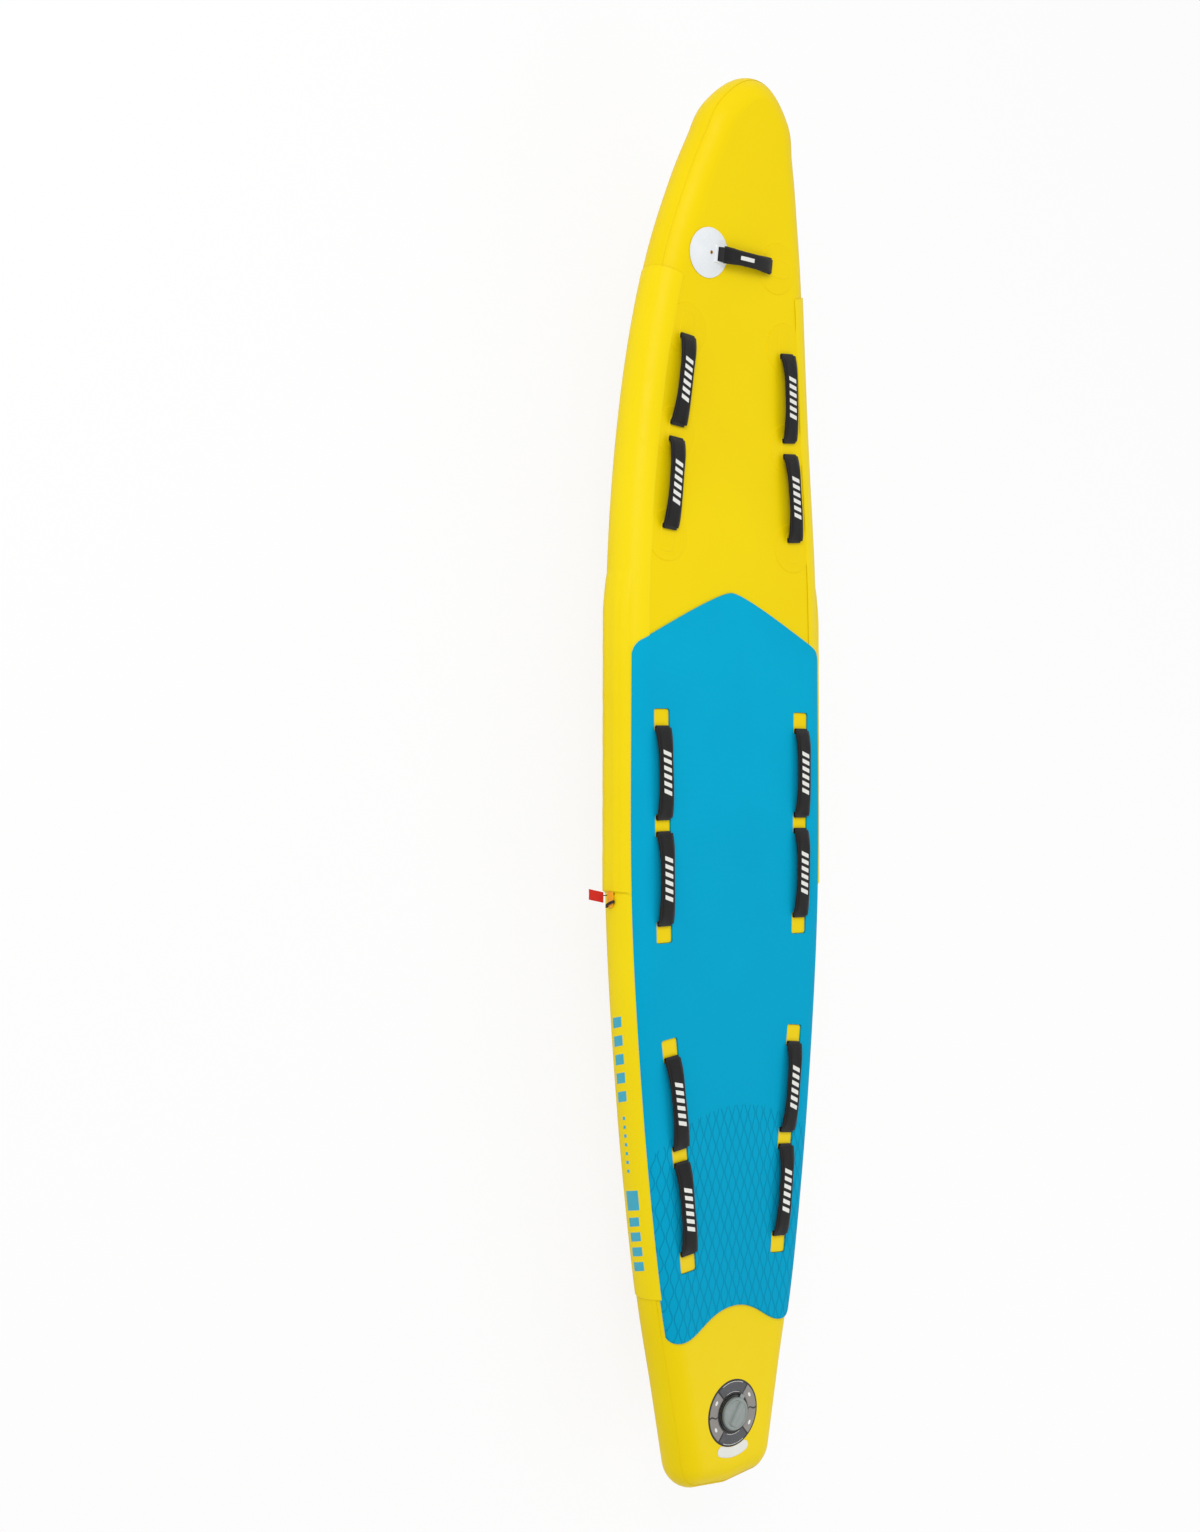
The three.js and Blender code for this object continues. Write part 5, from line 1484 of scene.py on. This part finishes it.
tag_root = (-268 * MM, 311.7 * MM, hull_level + 46 * MM)
tag_droop = np.radians(38)


def make_tag():
    half, length, reach, slant = 12 * MM, 42 * MM, 14 * MM, 9 * MM

    def place(u, v):
        along = reach + length * v
        sway = 0.9 * MM * np.sin(2.2 * math.pi * v + 0.6) * v + 0.5 * MM * np.sin(math.pi * u) * v
        return np.stack([(2 * u - 1) * half + slant * (v - 0.5), along, sway], -1) + tag_root

    cloth = draped_grid("tag_cloth", 24, 40, place)
    finish_with(cloth, "SOLIDIFY", thickness=1.3 * MM, offset=0)
    return softened(cloth, 0.35 * MM, 2, 50)


def make_stem():
    """A short cord of one strand wound round another, which shows as a ridge that turns nine times."""
    def place(u, v):
        turn = 2 * math.pi * v
        radius = 1.15 * MM + 0.15 * MM * np.cos(6 * math.pi * u * 3 + turn)
        return np.stack([radius * np.cos(turn), u * 16 * MM, radius * np.sin(turn)], -1) + tag_root

    return tidy(closed(draped_grid("stem", 48, 16, place), 0.005 * MM), 0.005 * MM, 60)


def drooped(piece, side):
    """Hang a tag or its stem down along the rail from the root, bending evenly over the stem's length."""
    places = corners_of(piece)
    out = np.clip(side * places[:, 1] - tag_root[1], 0, None)
    turn = tag_droop * np.clip(out / (20 * MM), 0, 1)
    above = places[:, 2] - tag_root[2]
    y = tag_root[1] + out * np.cos(turn) + above * np.sin(turn)
    z = tag_root[2] - out * np.sin(turn) + above * np.cos(turn)
    return move_corners(piece, np.stack([places[:, 0], side * y, z], 1))


for side_name, batten in on_both_sides(make_batten, "laminate_batten").items():
    dress(batten, orange_laminate, f"batten_{side_name}", "laminate_orange", f"batten_{side_name}")
for side_name, loop in on_both_sides(make_loop, "webbing_loop").items():
    dress(loop, black_cord, f"batten_{side_name}", "webbing_black", f"batten_pull_loop_{side_name}")
tags = on_both_sides(make_tag, "cloth_tag")
drooped(tags["starboard"], -1)
for side_name, tag in tags.items():
    dress(tag, tag_cloth, f"rail_tag_{side_name}", "tag_red", f"rail_tag_{side_name}")
stems = on_both_sides(make_stem, "tag_stem")
drooped(stems["starboard"], -1)
for side_name, stem in stems.items():
    dress(stem, black_cord, f"rail_tag_{side_name}", "tag_red")
print("battens, loops and tags are in place")

# %% [markdown]
# ## Fin and fin box
# The fin is a swept blade of cast urethane. Its outline is given as rows of depth, leading edge and trailing
# edge, and each row gets the same wing section. A tab on its root slides into the box's slot, and a screw
# through a tang at its front pulls up a small brass plate inside the box's channel.

# %% Fin box
fin_box = extruded("fin_box_moulding", stadium(344 * MM, 150 * MM), -1.9 * MM, -0.3 * MM)
softened(fin_box, 0.6 * MM)
box_body = bevelled(extruded("box_body", stadium(248 * MM, 48 * MM), -21.9 * MM, -1.0 * MM), 3.2 * MM, 5)
combined(fin_box, "UNION", [box_body])
fin_slot = solid_block("fin_slot", (-107, -4.3, -40), (107, 4.3, -5.9))
cut_with(fin_box, fin_slot, solid_block("channel", (-107, -7, -15.9), (107, 7, -9.9)))
tidy(fin_box, smooth=30)
fin_matrix = Matrix.Translation((-1102 * MM, 0, hull_level))
set_down(fin_box, fin_matrix, yellow_nylon, "board", "moulding_yellow", "fin_box")
fin_box.data.materials.append(patch_cloth)
plate_level = hull_level - 2.2 * MM
for face in fin_box.data.polygons:
    face.material_index = 1 if face.center.z > plate_level else 0

# %% Fin
fin_rows = [
    (0, 0, 1), (0.2, 0.19, 1.105), (0.4, 0.4, 1.215), (0.6, 0.61, 1.32),
    (0.78, 0.82, 1.41), (0.9, 0.985, 1.468), (0.97, 1.09, 1.44), (1, 1.17, 1.33),
]
fin_lead, fin_root, fin_depth = 57 * MM, 191 * MM, 139 * MM
fin_top = -22.2 * MM
section_half = np.array([
    (0, 0.0), (0.02, 0.3), (0.06, 0.52), (0.12, 0.7), (0.22, 0.9),
    (0.35, 1.0), (0.52, 0.93), (0.7, 0.7), (0.86, 0.4), (1.0, 0.12),
])


def smooth_rows(values, table, column):
    rows = np.array(table, float)
    slopes = np.gradient(rows[:, column], rows[:, 0])
    index = np.clip(np.searchsorted(rows[:, 0], values, side="right") - 1, 0, len(rows) - 2)
    low, high = rows[index, 0], rows[index + 1, 0]
    run = high - low
    here, after = rows[index, column], rows[index + 1, column]
    return hermite((values - low) / run, here, after, slopes[index] * run, slopes[index + 1] * run)[0]


def blade_place(u, v):
    lead, trail = smooth_rows(v, fin_rows, 1), smooth_rows(v, fin_rows, 2)
    turn = np.abs(2 * u - 1)
    chord = (1 - np.cos(math.pi * turn)) / 2
    thick = np.interp(chord, *section_half.T)
    thickness = (7.6 - 4.6 * v) * MM * thick * np.clip((1 - v) / 0.03, 0.25, 1) ** 0.5
    x = fin_lead - fin_root * (lead + (trail - lead) * chord)
    y = np.where(u < 0.5, 1, -1) * thickness / 2
    y = np.where((u < 1e-6) | (u > 1 - 1e-6), 0.0, y)
    return np.stack([x, y, fin_top - fin_depth * v], -1)


screw_x = 52
blade = closed(draped_grid("fin_blade", 96, 72, blade_place), 0.01 * MM)
tidy(blade, smooth=45)
fin_tab = solid_block("fin_tab", (-98, -3.8, -23), (42, 3.8, -7.9), 0.6, 2)
tang = solid_block("tang", (38, -3.8, -18.9), (60, 3.8, -15.9), 0.5, 2)
combined(blade, "UNION", [fin_tab, tang])
cut_with(blade, upright("screw_hole", 2.5, -25, -10, screw_x))
tidy(blade, smooth=40)
set_down(blade, fin_matrix, amber, "fin", "fin_amber", "fin")

screw = lathe("machine_screw", profile_of(
    (0, -21.6), (3.1, -21.6), (3.5, -21.2), (3.5, -19.5), (3.2, -19.2), (2.2, -19.2),
    (2.2, -12.9), (1.9, -12.6), (0, -12.6)), 48)
cut_with(screw, solid_block("driver_slot", (-5, -0.5, -25), (5, 0.5, -20.6)))
tidy(screw, smooth=35)
move_corners(screw, corners_of(screw) + (screw_x * MM, 0, 0))
set_down(screw, fin_matrix, steel, "fin", "steel", "fin_screw")
slide_plate = solid_block("slide_plate", (45, -6.5, -15.6), (59, 6.5, -12.6), 0.5, 2)
cut_with(slide_plate, upright("plate_hole", 2.5, -20, -8, screw_x))
tidy(slide_plate, smooth=35)
set_down(slide_plate, fin_matrix, brass, "fin", "brass", "fin_plate")
print("fin and box are in place")

# %% [markdown]
# ## Plain prints on the hull
# Thin film is printed and pressed on: rows of slanted blue dashes along each rail, two blue rules with a
# small panel and three dashes between them ahead of the fin box, and a round red badge with a white ring
# under the nose. Each print is a grid laid on the hull and lifted by a few tenths of a millimetre, because
# a film has a real edge that catches the light.

# %% Rail dashes
def rail_dash(name, x_low, x_high, turn_low, turn_high, slant=8 * MM):
    def place(u, v):
        turn = math.radians(turn_low) + math.radians(turn_high - turn_low) * v
        x = x_low + (x_high - x_low) * u + slant * (v - 0.5)
        to_side = np.minimum(v, 1 - v) * weld_radius * math.radians(turn_high - turn_low)
        border = np.minimum(np.minimum(u, 1 - u) * (x_high - x_low), to_side)
        y, rise = beside_rail(x, turn, rounded_border(border, 2.65 * MM, 3.0 * MM, 0.4 * MM))
        return np.stack([x, y, rail_level + rise + rocker(x)], -1)

    return draped_grid(name, 16, 10, place)


def make_dashes():
    dashes = [rail_dash("dash", x, x + 25 * MM, -17, 15) for x in np.arange(-735, -540, 42) * MM]
    dashes += [rail_dash("dot", x, x + 8 * MM, -3, 6, 2 * MM) for x in np.arange(-895, -765, 20) * MM]
    dashes += [rail_dash("dash", x, x + 22 * MM, -15, 20) for x in np.arange(-1120, -985, 34) * MM]
    dashes.append(rail_dash("panel", -982 * MM, -934 * MM, -17, 24))
    return tidy(join(dashes, "dashes"), smooth=45)


for dashes in on_both_sides(make_dashes, "rail_dashes").values():
    dress(dashes, blue_print, "board", "pad_blue")


# %% Underside badge and rules
badge_x = 1048 * MM


def badge_disc(name, radius, low, high, inner=0.0):
    def place(u, v):
        share = inner + (1 - inner) * v
        angle = 2 * math.pi * u
        x, y = badge_x + radius * share * np.cos(angle), radius * share * np.sin(angle)
        border = np.minimum((1 - share) * radius, (share - inner) * radius if inner else 1.0)
        return on_board(x, y, rounded_border(border, low, high, 0.5 * MM), under=True)

    return tidy(draped_grid(name, 72, 14, place), smooth=45)


red_badge = badge_disc("underside_badge", 52 * MM, 0.05 * MM, 0.5 * MM)
dress(red_badge, tag_cloth, "board", "tag_red")
white_ring = badge_disc("badge_ring", 40 * MM, 0.45 * MM, 0.75 * MM, 0.82)
dress(white_ring, white_print, "board", "print_white")


def centre_print(name, x_low, x_high, half_width):
    def place(u, v):
        x, y = x_low + (x_high - x_low) * u, half_width * (2 * v - 1)
        to_side = (0.5 - np.abs(v - 0.5)) * 2 * half_width
        border = np.minimum(np.minimum(u, 1 - u) * (x_high - x_low), to_side)
        return on_board(x, y, rounded_border(border, 0.05 * MM, 0.45 * MM, 0.4 * MM), under=True)

    return draped_grid(name, 40, 8, place)


rule_spans = ((-655, -430), (-925, -800))
rules = [centre_print("rule", low * MM, high * MM, 1.2 * MM) for low, high in rule_spans]
rules += [centre_print("dash", low * MM, (low + 9) * MM, 5 * MM) for low in (-735, -717, -699)]
rules.append(centre_print("panel", -785 * MM, -745 * MM, 11 * MM))
dress(tidy(join(rules, "underside_rules"), smooth=45), blue_print, "board", "pad_blue")
print("plain prints are in place")
